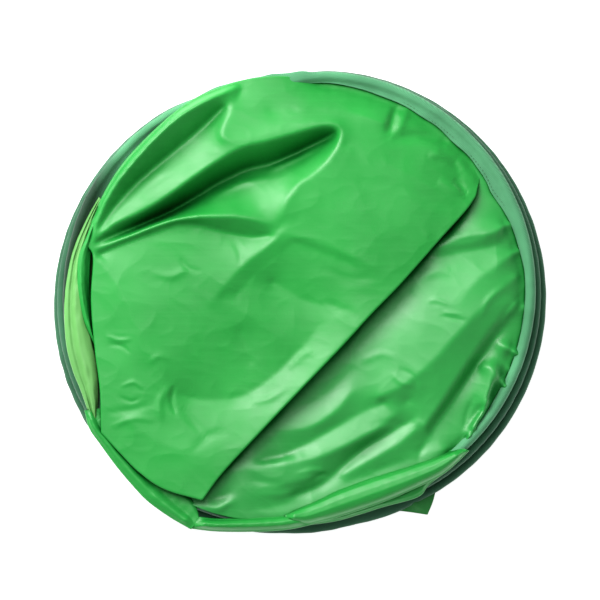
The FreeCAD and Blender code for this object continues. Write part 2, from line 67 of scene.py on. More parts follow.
# Binding tape: its radius round the rod, the width of its flat tail, and how far from a crossing it
# ends on the turn above it and on the turn below it.
NOSE = 4.5
TAIL = 17.0
GAP_ABOVE = 31
GAP_BELOW = 48
STITCH_PITCH = 3.8
# Rods at a crossing: where each leaves its ferrule, how far it passes beside the other and drops.
STRAND_MOUTH = 24.0
STRAND_SIDE = 2.2
STRAND_DROP = 3.0
STRAND_SLOPE = 0.22
# Wraps there: where they start and end along the rods, and their radius at and away from a crossing.
WRAP_START, WRAP_END = 31.0, 52.0
WRAP_NARROW, WRAP_WIDE = 2.15, 4.05
# Sewn edge of the upper turn's binding: bearing in degrees, and gap inside the rod.
SEWN_GAPS = ((-62, TAIL), (-46, 6), (8, 6), (15, 8.4), (25, 11.4), (30, 15), (35, 12.8), (55, 12.4),
             (60, 10.8), (70, 9.9), (80, 7.4), (87, 6), (104, 6), (114, TAIL))
# The cloths' edges go this far past the sewn edge, under the tape.
UNDER_TAPE = -3.0
# Door, the zip's line on it and its net, along and across the tent's own axes.
DOOR_HALF, DOOR_TOP, DOOR_DEPTH = 126, 40, 176
ZIP_LINE = 26
NET_HALF, NET_TOP, NET_FOOT = 64, -21, -79
# Spacing in metres of the fabric's threads, and half the side of a relief's grid and its finest step.
WEAVE = 0.0007
RELIEF_HALF = 264.0
RELIEF_STEP = 1.5
# A relief is solved from coarse to fine: step of each level in finest steps, and rounds of relaxing.
RELIEF_LEVELS = (8, 260), (4, 200), (2, 160), (1, 120)
# Picture: the camera's lens in mm, and its height and shift towards the picture's top in metres.
LENS = 300
CAMERA_HEIGHT = 5.03
CAMERA_SHIFT = 0.002
# Lamps: name, place and size in metres, watts.
LAMPS = (("key", (-1.15, 1.25, 1.15), 1.3, 49.0), ("sheen", (-0.47, 0.72, 1.7), 1.3, 15.0))
SKY = (0.96, 0.98, 1.0, 1)
SKY_STRENGTH = 0.33
FLOOR_HALF = 4000
FLOOR_GLOW = 0.8


# ---- camera, light and floor ----

def aim(thing, place, target=(0, 0, 0)):
    """Put a camera or lamp somewhere and turn it towards a target, with +Y up in its picture."""
    thing.location = place
    way = np.subtract(target, place)
    flat = math.hypot(way[0], way[1])
    thing.rotation_euler = (math.atan2(flat, -way[2]), 0,
                            math.atan2(-way[0], way[1]) if flat > 1e-6 else 0)


def make_stage():
    """Camera straight above, two soft lamps high at the upper left, a pale sky and white paper."""
    scene = bpy.context.scene
    scene.view_settings.view_transform = "Standard"
    camera = bpy.data.objects.new("camera", bpy.data.cameras.new("camera"))
    camera.data.lens = LENS
    camera.data.clip_end = 20
    scene.collection.objects.link(camera)
    aim(camera, (0, CAMERA_SHIFT, CAMERA_HEIGHT), (0, CAMERA_SHIFT, 0))
    scene.camera = camera
    for name, place, size, power in LAMPS:
        lamp = bpy.data.objects.new(name, bpy.data.lights.new(name, "AREA"))
        lamp.data.size = size
        lamp.data.energy = power
        scene.collection.objects.link(lamp)
        aim(lamp, place)
    world = bpy.data.worlds.new("studio")
    world.use_nodes = True
    world.node_tree.nodes["Background"].inputs["Color"].default_value = SKY
    world.node_tree.nodes["Background"].inputs["Strength"].default_value = SKY_STRENGTH
    scene.world = world
    corners = [(FLOOR_HALF * x, FLOOR_HALF * y, 0) for x, y in ((-1, -1), (1, -1), (1, 1), (-1, 1))]
    floor = add_mesh("floor", corners, [(0, 1, 2, 3)], smooth=False)
    paper = plain_material("floor_paper", (0.93, 0.93, 0.93), 0.9)
    shader = paper.node_tree.nodes["Principled BSDF"]
    shader.inputs["Emission Color"].default_value = (1, 1, 1, 1)
    shader.inputs["Emission Strength"].default_value = FLOOR_GLOW
    floor.data.materials.append(paper)


# ---- materials ----

def new_material(name, roughness, **inputs):
    """Material with a Principled shader; returns it, its tree, the shader and object coordinates."""
    material = bpy.data.materials.new(name)
    material.use_nodes = True
    tree = material.node_tree
    shader = tree.nodes["Principled BSDF"]
    shader.inputs["Roughness"].default_value = roughness
    for key, value in inputs.items():
        shader.inputs[key.replace("_", " ")].default_value = value
    return material, tree, shader, tree.nodes.new("ShaderNodeTexCoord").outputs["Object"]


def add_node(tree, kind, settings=(), **inputs):
    """Add a node. An input that is given another node's output is linked, and any other is set."""
    node = tree.nodes.new("ShaderNode" + kind)
    for key, value in dict(settings).items():
        setattr(node, key, value)
    for key, value in inputs.items():
        socket = node.inputs[key.replace("_", " ")]
        if isinstance(value, bpy.types.NodeSocket):
            tree.links.new(value, socket)
        else:
            socket.default_value = value
    return node


def noise(tree, coordinates, scale, detail=2.0, kind="FBM", stretch=None):
    """Noise of 1/scale metres; stretch makes it longer along chosen axes."""
    if stretch:
        coordinates = add_node(tree, "Mapping", Vector=coordinates, Scale=stretch).outputs["Vector"]
    node = add_node(tree, "TexNoise", {"noise_type": kind}, Vector=coordinates, Scale=scale, Detail=detail)
    return node.outputs[0]


def threads(tree, coordinates, spacing, direction):
    """Even bands along one axis, spacing metres apart: at scale 1 they are TAU / 20 apart."""
    bands = add_node(tree, "TexWave", {"bands_direction": direction}, Vector=coordinates,
                     Scale=TAU / 20 / spacing, Distortion=0.0)
    return bands.outputs[1]


def blend_colours(tree, amount, first, second, low=0.3, high=0.7):
    """Mix two colours by a socket's value between low and high."""
    spread_out = add_node(tree, "MapRange", Value=amount, From_Min=low, From_Max=high)
    mixed = add_node(tree, "MixRGB", Fac=spread_out.outputs[0])
    for socket, colour in ((mixed.inputs["Color1"], first), (mixed.inputs["Color2"], second)):
        if isinstance(colour, bpy.types.NodeSocket):
            tree.links.new(colour, socket)
        else:
            socket.default_value = (*colour, 1)
    return mixed.outputs[0]


def paint_fold_shade(tree, shader, colour, gloss, depth=0.05, least=0.10):
    """Painted shade: colour and gloss made darker where the fabric is enclosed, standing in for light lost
    inside its folds.
    """
    enclosed = add_node(tree, "AmbientOcclusion", {"samples": 12}, Distance=depth)
    fold_shade = add_node(tree, "MapRange", Value=enclosed.outputs["AO"], From_Min=0.35, From_Max=0.90,
                   To_Min=least).outputs[0]
    deeper = add_node(tree, "MixRGB", {"blend_type": "MULTIPLY"}, Fac=1.0, Color1=colour, Color2=fold_shade)
    tree.links.new(deeper.outputs[0], shader.inputs["Base Color"])
    duller = add_node(tree, "MapRange", Value=fold_shade, From_Min=0.35, To_Max=gloss)
    tree.links.new(duller.outputs[0], shader.inputs["Specular IOR Level"])


def add_bumps(tree, shader, *layers):
    """Stack bumps of (height socket, strength, distance in metres), the first one lowest."""
    normal = None
    for height, strength, distance in layers:
        bump = add_node(tree, "Bump", Height=height, Strength=strength, Distance=distance)
        if normal:
            tree.links.new(normal, bump.inputs["Normal"])
        normal = bump.outputs["Normal"]
    tree.links.new(normal, shader.inputs["Normal"])


def plain_material(name, colour, roughness):
    """Paper or card, with a trace of grain."""
    material, tree, shader, place = new_material(name, roughness)
    shade = tuple(part * 0.985 for part in colour)
    grain = blend_colours(tree, noise(tree, place, 30.0), colour, shade)
    tree.links.new(grain, shader.inputs["Base Color"])
    return material


def coated_fabric(name, colour, roughness=0.40, crumple=0.26, gloss=0.6):
    """Thin coated nylon: slub streaks along X, soft crumples, a fine even weave, a waxy gloss, and painted
    shade that darkens its colour and gloss in its folds.
    """
    material, tree, shader, place = new_material(name, roughness)
    deeper = tuple(part * 0.84 for part in colour)
    lighter = tuple(min(1.0, part * 1.10 + 0.006) for part in colour)
    patches = blend_colours(tree, noise(tree, place, 11.0, 3.0), deeper, lighter)
    streaks = noise(tree, place, 60.0, 2.0, stretch=(0.12, 5.0, 5.0))
    slubs = tuple(min(1.0, part * 1.05 + 0.012) for part in colour)
    # Painted shade: the colour and gloss are darkened where the fabric is enclosed.
    paint_fold_shade(tree, shader, blend_colours(tree, streaks, patches, slubs, 0.46, 1.3), gloss)
    waxed = add_node(tree, "MapRange", Value=noise(tree, place, 36.0, 3.0), From_Min=0.3, From_Max=0.7,
                     To_Min=roughness - 0.05, To_Max=roughness + 0.08)
    tree.links.new(waxed.outputs[0], shader.inputs["Roughness"])
    creased = noise(tree, place, 17.0, 2.0, "RIDGED_MULTIFRACTAL")
    add_bumps(tree, shader, (creased, crumple * 0.5, 0.0006),
              (noise(tree, place, 120.0, 2.0), crumple * 0.4, 0.0004), (streaks, 0.2, 0.0001),
              (threads(tree, place, WEAVE, "X"), 0.12, 0.00004),
              (threads(tree, place, WEAVE, "Y"), 0.12, 0.00004))
    return material


def woven_tape(name, colour, spacing=0.0011, roughness=0.78, left_painted_shade=None):
    """Binding tape or webbing: matte, with a diagonal rib and a worn, paler fuzz. Tape given a left
    colour has painted shade: it turns near black along the disc's left side, in the folds' shade."""
    material, tree, shader, place = new_material(name, roughness, Sheen_Weight=0.14, Sheen_Roughness=0.5)
    worn = tuple(min(1.0, part * 1.22 + 0.02) for part in colour)
    shaded = tuple(part * 0.80 for part in colour)
    dye_and_painted_shade = blend_colours(tree, noise(tree, place, 24.0, 5.0), shaded, worn, 0.28, 0.75)
    # Painted shade: near black where X is below -0.205 m, fading out by -0.175 m.
    if left_painted_shade:
        across = add_node(tree, "SeparateXYZ", Vector=place).outputs[0]
        dye_and_painted_shade = blend_colours(tree, across, left_painted_shade, dye_and_painted_shade, -0.205, -0.175)
    ribs = add_node(tree, "MixRGB", {"blend_type": "MULTIPLY"}, Fac=0.22, Color1=dye_and_painted_shade,
                    Color2=threads(tree, place, spacing, "DIAGONAL"))
    tree.links.new(ribs.outputs[0], shader.inputs["Base Color"])
    add_bumps(tree, shader, (noise(tree, place, 60.0, 2.0), 0.25, 0.0006),
              (threads(tree, place, spacing, "DIAGONAL"), 0.5, 0.00018),
              (noise(tree, place, 900.0, 2.0), 0.35, 0.0001))
    return material


def moulded_plastic(name, colour, roughness=0.38):
    """Plastic with paler clouds and a fine texture."""
    material, tree, shader, place = new_material(name, roughness)
    paler = tuple(min(1.0, part * 1.15 + 0.01) for part in colour)
    clouds = blend_colours(tree, noise(tree, place, 90.0, 3.0), colour, paler)
    tree.links.new(clouds, shader.inputs["Base Color"])
    add_bumps(tree, shader, (noise(tree, place, 1400.0, 2.0), 0.25, 0.00008))
    return material


def drawn_metal(name, colour, roughness=0.3):
    """Steel with fine drawing lines and slight tarnish."""
    material, tree, shader, place = new_material(name, roughness, Metallic=1.0)
    tarnished = tuple(part * 0.62 for part in colour)
    clouds = blend_colours(tree, noise(tree, place, 70.0, 4.0), tarnished, colour)
    tree.links.new(clouds, shader.inputs["Base Color"])
    scratches = noise(tree, place, 60.0, 3.0, stretch=(30.0, 30.0, 1.0))
    worn = add_node(tree, "MapRange", Value=scratches, From_Min=0.3, From_Max=0.7,
                    To_Min=roughness - 0.1, To_Max=roughness + 0.15)
    tree.links.new(worn.outputs[0], shader.inputs["Roughness"])
    add_bumps(tree, shader, (scratches, 0.3, 0.00005))
    return material


def net_fabric(name, colour, spacing=0.0018):
    """Insect net: dark yarn with small holes between crossed threads."""
    material, tree, shader, place = new_material(name, 0.7)
    shader.inputs["Base Color"].default_value = (*colour, 1)
    crossed = add_node(tree, "Math", {"operation": "MAXIMUM"})
    tree.links.new(threads(tree, place, spacing, "X"), crossed.inputs[0])
    tree.links.new(threads(tree, place, spacing, "Y"), crossed.inputs[1])
    yarn = add_node(tree, "MapRange", Value=crossed.outputs[0], From_Min=0.45, From_Max=0.6, To_Min=0.25)
    tree.links.new(yarn.outputs[0], shader.inputs["Alpha"])
    add_bumps(tree, shader, (crossed.outputs[0], 0.6, 0.0002))
    return material


def make_materials():
    """Every finish, by its slot in the record; canopy_rear is a glossier one for canopy_fabric."""
    return {
        "canopy_fabric": coated_fabric("canopy_nylon", (0.011, 0.375, 0.043)),
        "canopy_rear": coated_fabric("rear_nylon", (0.014, 0.39, 0.052), gloss=0.85),
        "lining_fabric": coated_fabric("lining_nylon", (0.15, 0.48, 0.11), roughness=0.42, crumple=0.3),
        "floor_fabric": coated_fabric("floor_oxford", (0.013, 0.29, 0.034), roughness=0.45),
        # The pale tape has painted shade, near black, along the disc's left side.
        "binding_tape": woven_tape("pale_binding", (0.085, 0.385, 0.165), left_painted_shade=(0.006, 0.05, 0.018)),
        "dark_binding": woven_tape("dark_binding_tape", (0.020, 0.150, 0.060)),
        "webbing": woven_tape("green_webbing", (0.015, 0.16, 0.04), spacing=0.0018),
        "zip_tape": woven_tape("zip_twill", (0.03, 0.30, 0.07), spacing=0.0009),
        "vent_mesh": net_fabric("insect_net", (0.008, 0.05, 0.016)),
        "zip_plastic": moulded_plastic("zip_nylon", (0.02, 0.26, 0.06)),
        "zip_metal": drawn_metal("painted_zinc", (0.55, 0.57, 0.56), 0.28),
        "spring_steel": drawn_metal("blued_spring_steel", (0.36, 0.37, 0.39), 0.3),
        "ferrule_steel": drawn_metal("plated_steel", (0.66, 0.67, 0.68), 0.24),
    }


# ---- meshes ----

def add_mesh(name, points, faces, smooth=True, sheet=False):
    """Mesh object with its faces turned outwards, or upwards where it is an open sheet."""
    mesh = bpy.data.meshes.new(name)
    mesh.from_pydata((np.asarray(points, float) * MM).tolist(), [], [tuple(face) for face in faces])
    mesh.validate()
    shell = bmesh.new()
    shell.from_mesh(mesh)
    bmesh.ops.remove_doubles(shell, verts=shell.verts, dist=1e-6)
    bmesh.ops.recalc_face_normals(shell, faces=shell.faces)
    if sheet and sum(face.normal.z * face.calc_area() for face in shell.faces) < 0:
        bmesh.ops.reverse_faces(shell, faces=shell.faces)
    shell.to_mesh(mesh)
    shell.free()
    if smooth:
        mesh.shade_smooth()
    thing = bpy.data.objects.new(name, mesh)
    bpy.context.scene.collection.objects.link(thing)
    return thing


def grid_faces(rows, columns, wrap=False):
    """Faces of a grid of vertices, stored row by row; wrap joins its last column to its first."""
    row, column = np.meshgrid(np.arange(rows - 1), np.arange(columns if wrap else columns - 1),
                              indexing="ij")
    after = (column + 1) % columns
    corners = [row * columns + column, row * columns + after,
               (row + 1) * columns + after, (row + 1) * columns + column]
    return np.stack([corner.ravel() for corner in corners], axis=1).tolist()


def finish_piece(thing, slot, body=None, replaced=(), look=None):
    """Give a piece its finish, its body and the nodes that it stands for. The finish is the slot's
    own unless another look is named. Without a body it is fabric over crossing A, baked in place."""
    thing.data.materials.append(finish[look or slot])
    if body:
        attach(thing, body)
    else:
        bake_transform(thing)
    if replaced:
        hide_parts(*replaced)


# ---- lines ----

def smooth_line(points, step=2.0, closed=False):
    """Catmull-Rom line through points of any dimension, about step apart."""
    points = np.asarray(points, float)
    if closed:
        points = np.vstack([points[-1:], points, points[:2]])
    else:
        points = np.vstack([2 * points[0] - points[1], points, 2 * points[-1] - points[-2]])
    pieces = []
    for before, start, end, after in zip(points, points[1:], points[2:], points[3:]):
        count = max(2, int(np.linalg.norm((end - start)[:2]) / step) + 1)
        part = np.linspace(0, 1, count, endpoint=False)[:, None]
        pieces.append(0.5 * (2 * start + (end - before) * part
                             + (2 * before - 5 * start + 4 * end - after) * part ** 2
                             + (3 * start - before - 3 * end + after) * part ** 3))
    if not closed:
        pieces.append(points[-2][None])
    return np.vstack(pieces)


def spread(line, count):
    """A line's points, evenly spaced along it."""
    steps = np.linalg.norm(np.diff(line[:, :2], axis=0), axis=1)
    along = np.concatenate([[0], np.cumsum(steps)])
    wanted = np.linspace(0, along[-1], count)
    return np.stack([np.interp(wanted, along, line[:, axis]) for axis in range(line.shape[1])], axis=1)


def outward_of(line, closed=False):
    """Unit normals to the right of a flat line's direction: outwards where it runs anticlockwise."""
    if closed:
        way = np.roll(line, -1, axis=0) - np.roll(line, 1, axis=0)
    else:
        way = np.gradient(line, axis=0)
    way = way[:, :2] / np.linalg.norm(way[:, :2], axis=1)[:, None]
    return np.stack([way[:, 1], -way[:, 0]], axis=1)


def ripple(count, waves, seed):
    """Smooth random wave of about unit height: waves is the range of cycles in the whole count."""
    source = np.random.default_rng(seed)
    place = np.arange(count) / count
    total = np.zeros(count)
    cycles = np.arange(waves[0], waves[1] + 1)
    for cycle in cycles:
        shift = source.uniform(0, TAU)
        total += source.normal() * np.sin(TAU * cycle * place + shift)
    return total / math.sqrt(len(cycles))


# ---- rims ----

def half_span(inset):
    """Half the tent's width across its straight stretches, on a turn with this inset."""
    return (BEND_RADIUS - inset) * (1 - math.cos(BEND_TURN)) + (RIM_RADIUS - inset) * math.cos(BEND_TURN)


def turn_height(turn):
    """Height of a turn's rod above the floor."""
    return LOWEST + turn * PITCH


def in_tent_axes(places, turn=LOWER):
    """Places given along and across the tent's own axes, for one turn."""
    places = np.asarray(places, float) + (0, turn * SHIFT)
    turned = np.array([[math.cos(BEARING), math.sin(BEARING)], [-math.sin(BEARING), math.cos(BEARING)]])
    return places @ turned


def rim_line(turn):
    """Closed line along a turn's rod, anticlockwise from crossing A, with its outward normals."""
    inset = turn * INSET
    place = np.array([0.0, -half_span(inset)])
    heading, points = 0.0, []
    bend = (BEND_RADIUS - inset, BEND_TURN)
    side = [bend, (RIM_RADIUS - inset, math.pi - 2 * BEND_TURN), bend]
    for size, sweep in [(FLAT_HALF, 0), *side, (2 * FLAT_HALF, 0), *side, (FLAT_HALF, 0)]:
        count = max(2, round((size * sweep if sweep else size) / RIM_STEP))
        middle = place + size * np.array([-math.sin(heading), math.cos(heading)])
        start = place
        for part in np.arange(count + 1) / count:
            if sweep:
                turned = heading + sweep * part
                place = middle + size * np.array([math.sin(turned), -math.cos(turned)])
            else:
                place = start + size * part * np.array([math.cos(heading), math.sin(heading)])
            points.append(place)
        points.pop()
        heading += sweep
    points = in_tent_axes(points, turn)
    return points, outward_of(points, closed=True)


def part_of_rim(turn, start_gap, end_gap, half=None):
    """Stretch of a rim. Gaps are left before and after crossing A, or B on the lower turn; half
    is "right" or "left" for one side of the middle turn, from A to B."""
    points, normals = rim_line(turn)
    count = len(points)
    if turn == LOWER:
        points = np.roll(points, -(count // 2), axis=0)
        normals = np.roll(normals, -(count // 2), axis=0)
    steps = np.linalg.norm(np.roll(points, -1, axis=0) - points, axis=1)
    along = np.concatenate([[0], np.cumsum(steps)[:-1]])
    whole = steps.sum()
    low, high = start_gap, whole - end_gap
    if half == "right":
        high = whole / 2 - end_gap
    if half == "left":
        low = whole / 2 + start_gap
    kept = (along >= low - 1e-6) & (along <= high + 1e-6)
    return points[kept], normals[kept]


def sewn_gap(points):
    """How far inside the upper turn's rod its binding is sewn: narrow where the fabric pulls on it."""
    bearing = np.degrees(np.arctan2(points[:, 1], points[:, 0]))
    return np.interp(bearing, *zip(*SEWN_GAPS))


def rim_between(turn, gap, start, end, height=None, sewn=False):
    """Line inside a turn, a gap from its rod or from its sewn edge, between two bearings in degrees
    from the origin, with a height where one is given."""
    points, normals = part_of_rim(turn, 0, 0)
    if sewn:
        gap = gap + sewn_gap(points)[:, None]
    inner = points - normals * gap
    bearing = np.degrees(np.arctan2(inner[:, 1], inner[:, 0])) - start
    chosen = np.flatnonzero(bearing % 360 <= end - start)
    chosen = chosen[np.argsort(bearing[chosen] % 360)]
    line = inner[chosen]
    return line if height is None else np.column_stack([line, np.full(len(line), height)])


# ---- relief: heights of a layer of fabric ----

class Relief:
    """Heights of one layer over the disc, on a square grid. Drawn lines hold their own heights,
    the fabric between them is stretched like a membrane, and full places swell. Strokes are small
    ridges or grooves laid over that."""

    def __init__(self):
        self.lines, self.swells, self.strokes = [], [], []

    def draw(self, *creases):
        self.lines += [smooth_line(points, RELIEF_STEP * 0.5) for points in creases]

    def swell(self, x, y, long, wide, bearing, lift):
        self.swells.append((x, y, long, wide, math.radians(bearing), lift))

    def solve(self, rounding):
        heights = None
        for level, rounds in RELIEF_LEVELS:
            step = RELIEF_STEP * level
            side = np.arange(-RELIEF_HALF, RELIEF_HALF + step / 2, step)
            across, along = np.meshgrid(side, side, indexing="ij")
            fixed = np.zeros(across.shape, bool)
            held = np.zeros(across.shape)
            for line in self.lines:
                cells = np.clip(np.rint((line[:, :2] + RELIEF_HALF) / step).astype(int), 0, len(side) - 1)
                fixed[cells[:, 0], cells[:, 1]] = True
                held[cells[:, 0], cells[:, 1]] = line[:, 2]
            if heights is None:
                heights = np.full(across.shape, held[fixed].mean())
            else:
                heights = lookup(heights, step * 2, across, along)
            heights[fixed] = held[fixed]
            relax(heights, fixed, swell_load(self.swells, across, along) * step ** 2 / 4, rounds)
        self.heights = blur(heights, rounding / RELIEF_STEP)
        for points, height, width in self.strokes:
            self.lay_stroke(across, along, smooth_line(points, RELIEF_STEP), height, width)
        return self

    def lay_stroke(self, across, along, line, height, width):
        """Add a small ridge or groove along a line, fading out at both ends."""
        reach = 3 * width
        low, high = line.min(axis=0) - reach, line.max(axis=0) + reach
        near = (across > low[0]) & (across < high[0]) & (along > low[1]) & (along < high[1])
        gap = np.hypot(across[near][:, None] - line[:, 0], along[near][:, None] - line[:, 1])
        fade = np.sin(np.pi * (gap.argmin(axis=1) + 0.5) / len(line)) ** 0.7
        self.heights[near] += height * fade * np.exp(-(gap.min(axis=1) / width) ** 2)

    def at(self, points):
        return lookup(self.heights, RELIEF_STEP, points[..., 0], points[..., 1])


def lookup(heights, step, x, y):
    """Heights at places between the grid's own."""
    column = np.clip((np.asarray(x) + RELIEF_HALF) / step, 0, heights.shape[0] - 1.001)
    row = np.clip((np.asarray(y) + RELIEF_HALF) / step, 0, heights.shape[1] - 1.001)
    i, j = column.astype(int), row.astype(int)
    a, b = column - i, row - j
    return (heights[i, j] * (1 - a) * (1 - b) + heights[i + 1, j] * a * (1 - b)
            + heights[i, j + 1] * (1 - a) * b + heights[i + 1, j + 1] * a * b)


def swell_load(swells, across, along):
    """Upward load that lifts a membrane by about each swell's lift: long and wide are its reach."""
    total = np.zeros(across.shape)
    for x, y, long, wide, bearing, lift in swells:
        ahead = (across - x) * math.cos(bearing) + (along - y) * math.sin(bearing)
        aside = (along - y) * math.cos(bearing) - (across - x) * math.sin(bearing)
        blob = np.exp(-(ahead / long) ** 2 - (aside / wide) ** 2)
        total += blob * (lift * 2.6 / min(long, wide) ** 2)
    return total


def relax(heights, fixed, load, rounds, pull=1.88):
    """Successive over-relaxation of a membrane on a checkerboard of cells."""
    rows, columns = np.indices(heights.shape)
    inner = np.zeros(heights.shape, bool)
    inner[1:-1, 1:-1] = True
    sets = [(inner & ~fixed & ((rows + columns) % 2 == parity))[1:-1, 1:-1] for parity in (0, 1)]
    middle = heights[1:-1, 1:-1]
    for _ in range(rounds):
        for chosen in sets:
            around = (heights[2:, 1:-1] + heights[:-2, 1:-1] + heights[1:-1, 2:] + heights[1:-1, :-2]) / 4
            change = around + load[1:-1, 1:-1] - middle
            middle[chosen] += pull * change[chosen]
        heights[0], heights[-1] = heights[1], heights[-2]
        heights[:, 0], heights[:, -1] = heights[:, 1], heights[:, -2]


def blur(heights, sigma):
    """Gaussian blur over sigma cells, with the edges repeated outwards."""
    reach = max(1, int(3 * sigma))
    weights = np.exp(-0.5 * (np.arange(-reach, reach + 1) / sigma) ** 2)
    weights /= weights.sum()
    for axis in (0, 1):
        margins = [(reach, reach) if axis == way else (0, 0) for way in (0, 1)]
        padded = np.pad(heights, margins, mode="edge")
        heights = np.apply_along_axis(np.convolve, axis, padded, weights, mode="valid")
    return heights


# ---- sheets ----

def four_sides(left, right, bottom, top, rows, columns):
    """Points inside four lines that meet at their ends: left and right run up, bottom and top run
    from left to right."""
    left, right = spread(smooth_line(left), rows), spread(smooth_line(right), rows)
    bottom, top = spread(smooth_line(bottom), columns), spread(smooth_line(top), columns)
    up = np.linspace(0, 1, rows)[:, None, None]
    over = np.linspace(0, 1, columns)[None, :, None]
    ruled = bottom * (1 - up) + top * up + left[:, None] * (1 - over) + right[:, None] * over
    corners = (bottom[0] * (1 - up) * (1 - over) + bottom[-1] * (1 - up) * over
               + top[0] * up * (1 - over) + top[-1] * up * over)
    return ruled - corners


def raised(places, heights):
    """Places with their heights as a third coordinate."""
    return np.concatenate([places, heights[..., None]], axis=2)


def border_of(rows, columns):
    """Vertices round a grid's edge, anticlockwise from its first."""
    grid = np.arange(rows * columns).reshape(rows, columns)
    return np.concatenate([grid[0, :-1], grid[:-1, -1], grid[-1, :0:-1], grid[:0:-1, 0]])


def cloth_sheet(name, seed, places, relief, turn_under=1.7, tuck=7.0, crumple=0.55, below=None):
    """Sheet over a grid of places, with the heights of a relief, small random creases, and its edge
    turned under. Where there is a relief below, the turned ply goes in and down until it lies on it."""
    rows, columns = places.shape[:2]
    heights = relief.at(places) + crumple * (wrinkles(places, seed, 62.0) - 0.5)
    heights += 0.3 * crumple * (wrinkles(places, seed + 1, 26.0) - 0.5)
    points = raised(places, heights).reshape(-1, 3)
    faces = grid_faces(rows, columns)
    edge = border_of(rows, columns)
    rim = points[edge]
    outward = outward_of(rim[:, :2], closed=True)
    hem = [(math.sin(turn), 1 - math.cos(turn)) for turn in np.radians((30, 60, 90, 120, 150, 180))]
    hem += [(-tuck * 0.5 / turn_under, 2.0), (-tuck / turn_under, 2.0)]
    if below:
        hem += [(-tuck * way / turn_under, 2.0) for way in (1.6, 2.2, 2.8, 3.4)]
    count, first = len(edge), len(points)
    for number, (out, down) in enumerate(hem):
        ring = rim.copy()
        ring[:, :2] += outward * out * turn_under
        ring[:, 2] -= down * turn_under
        if below and out < -1:
            sunk = np.clip((-out * turn_under / tuck - 0.5) / 1.7, 0, 1)
            resting = np.minimum(ring[:, 2], below.at(ring[:, :2]) + 1.2)
            ring[:, 2] = ring[:, 2] * (1 - sunk) + resting * sunk
        points = np.vstack([points, ring])
        inner = edge if number == 0 else np.arange(count) + first + (number - 1) * count
        outer = np.arange(count) + first + number * count
        faces += np.stack([inner, outer, np.roll(outer, -1), np.roll(inner, -1)], axis=1).tolist()
    return add_mesh(name, points, faces, sheet=True)


# ---- upper turn: front cloth ----

# Its edges: the left side, over and under the tape, the diagonal fold and the foot.
PINCH = (-209, 57, 46)
FRONT_LEFT = (
    (-197, -130, 46), (-198, -88, 46), (-203, -48, 45.5), (-207, 2, 45), (-204, 45, 46))
FRONT_TOP = (
    (-212, 60, 44), (-206, 82, 43), (-192, 112, 43), (-175, 138, 43), (-153, 162, 42.5), (-127, 186, 42),
    (-102, 203, 42), (-80, 212.5, 42.5), (-60, 219, 42.5), (-40, 222.5, 42.5), (-22, 224, 42.5),
    (-6, 223, 40), (6, 221, 37.5), (16, 219, 35.3))
FRONT_FOLD = (
    (174, 106, 43), (164, 92, 48), (137, 62, 53), (100, 20, 54.5), (70, -11, 55.5), (40, -44, 56),
    (-2, -88, 56), (-40, -128, 55), (-78, -169, 53), (-98, -196, 51))
FRONT_FOOT = (
    (-98, -196, 51), (-135, -185, 49), (-160, -168, 48), (-178, -150, 47), (-197, -130, 46))
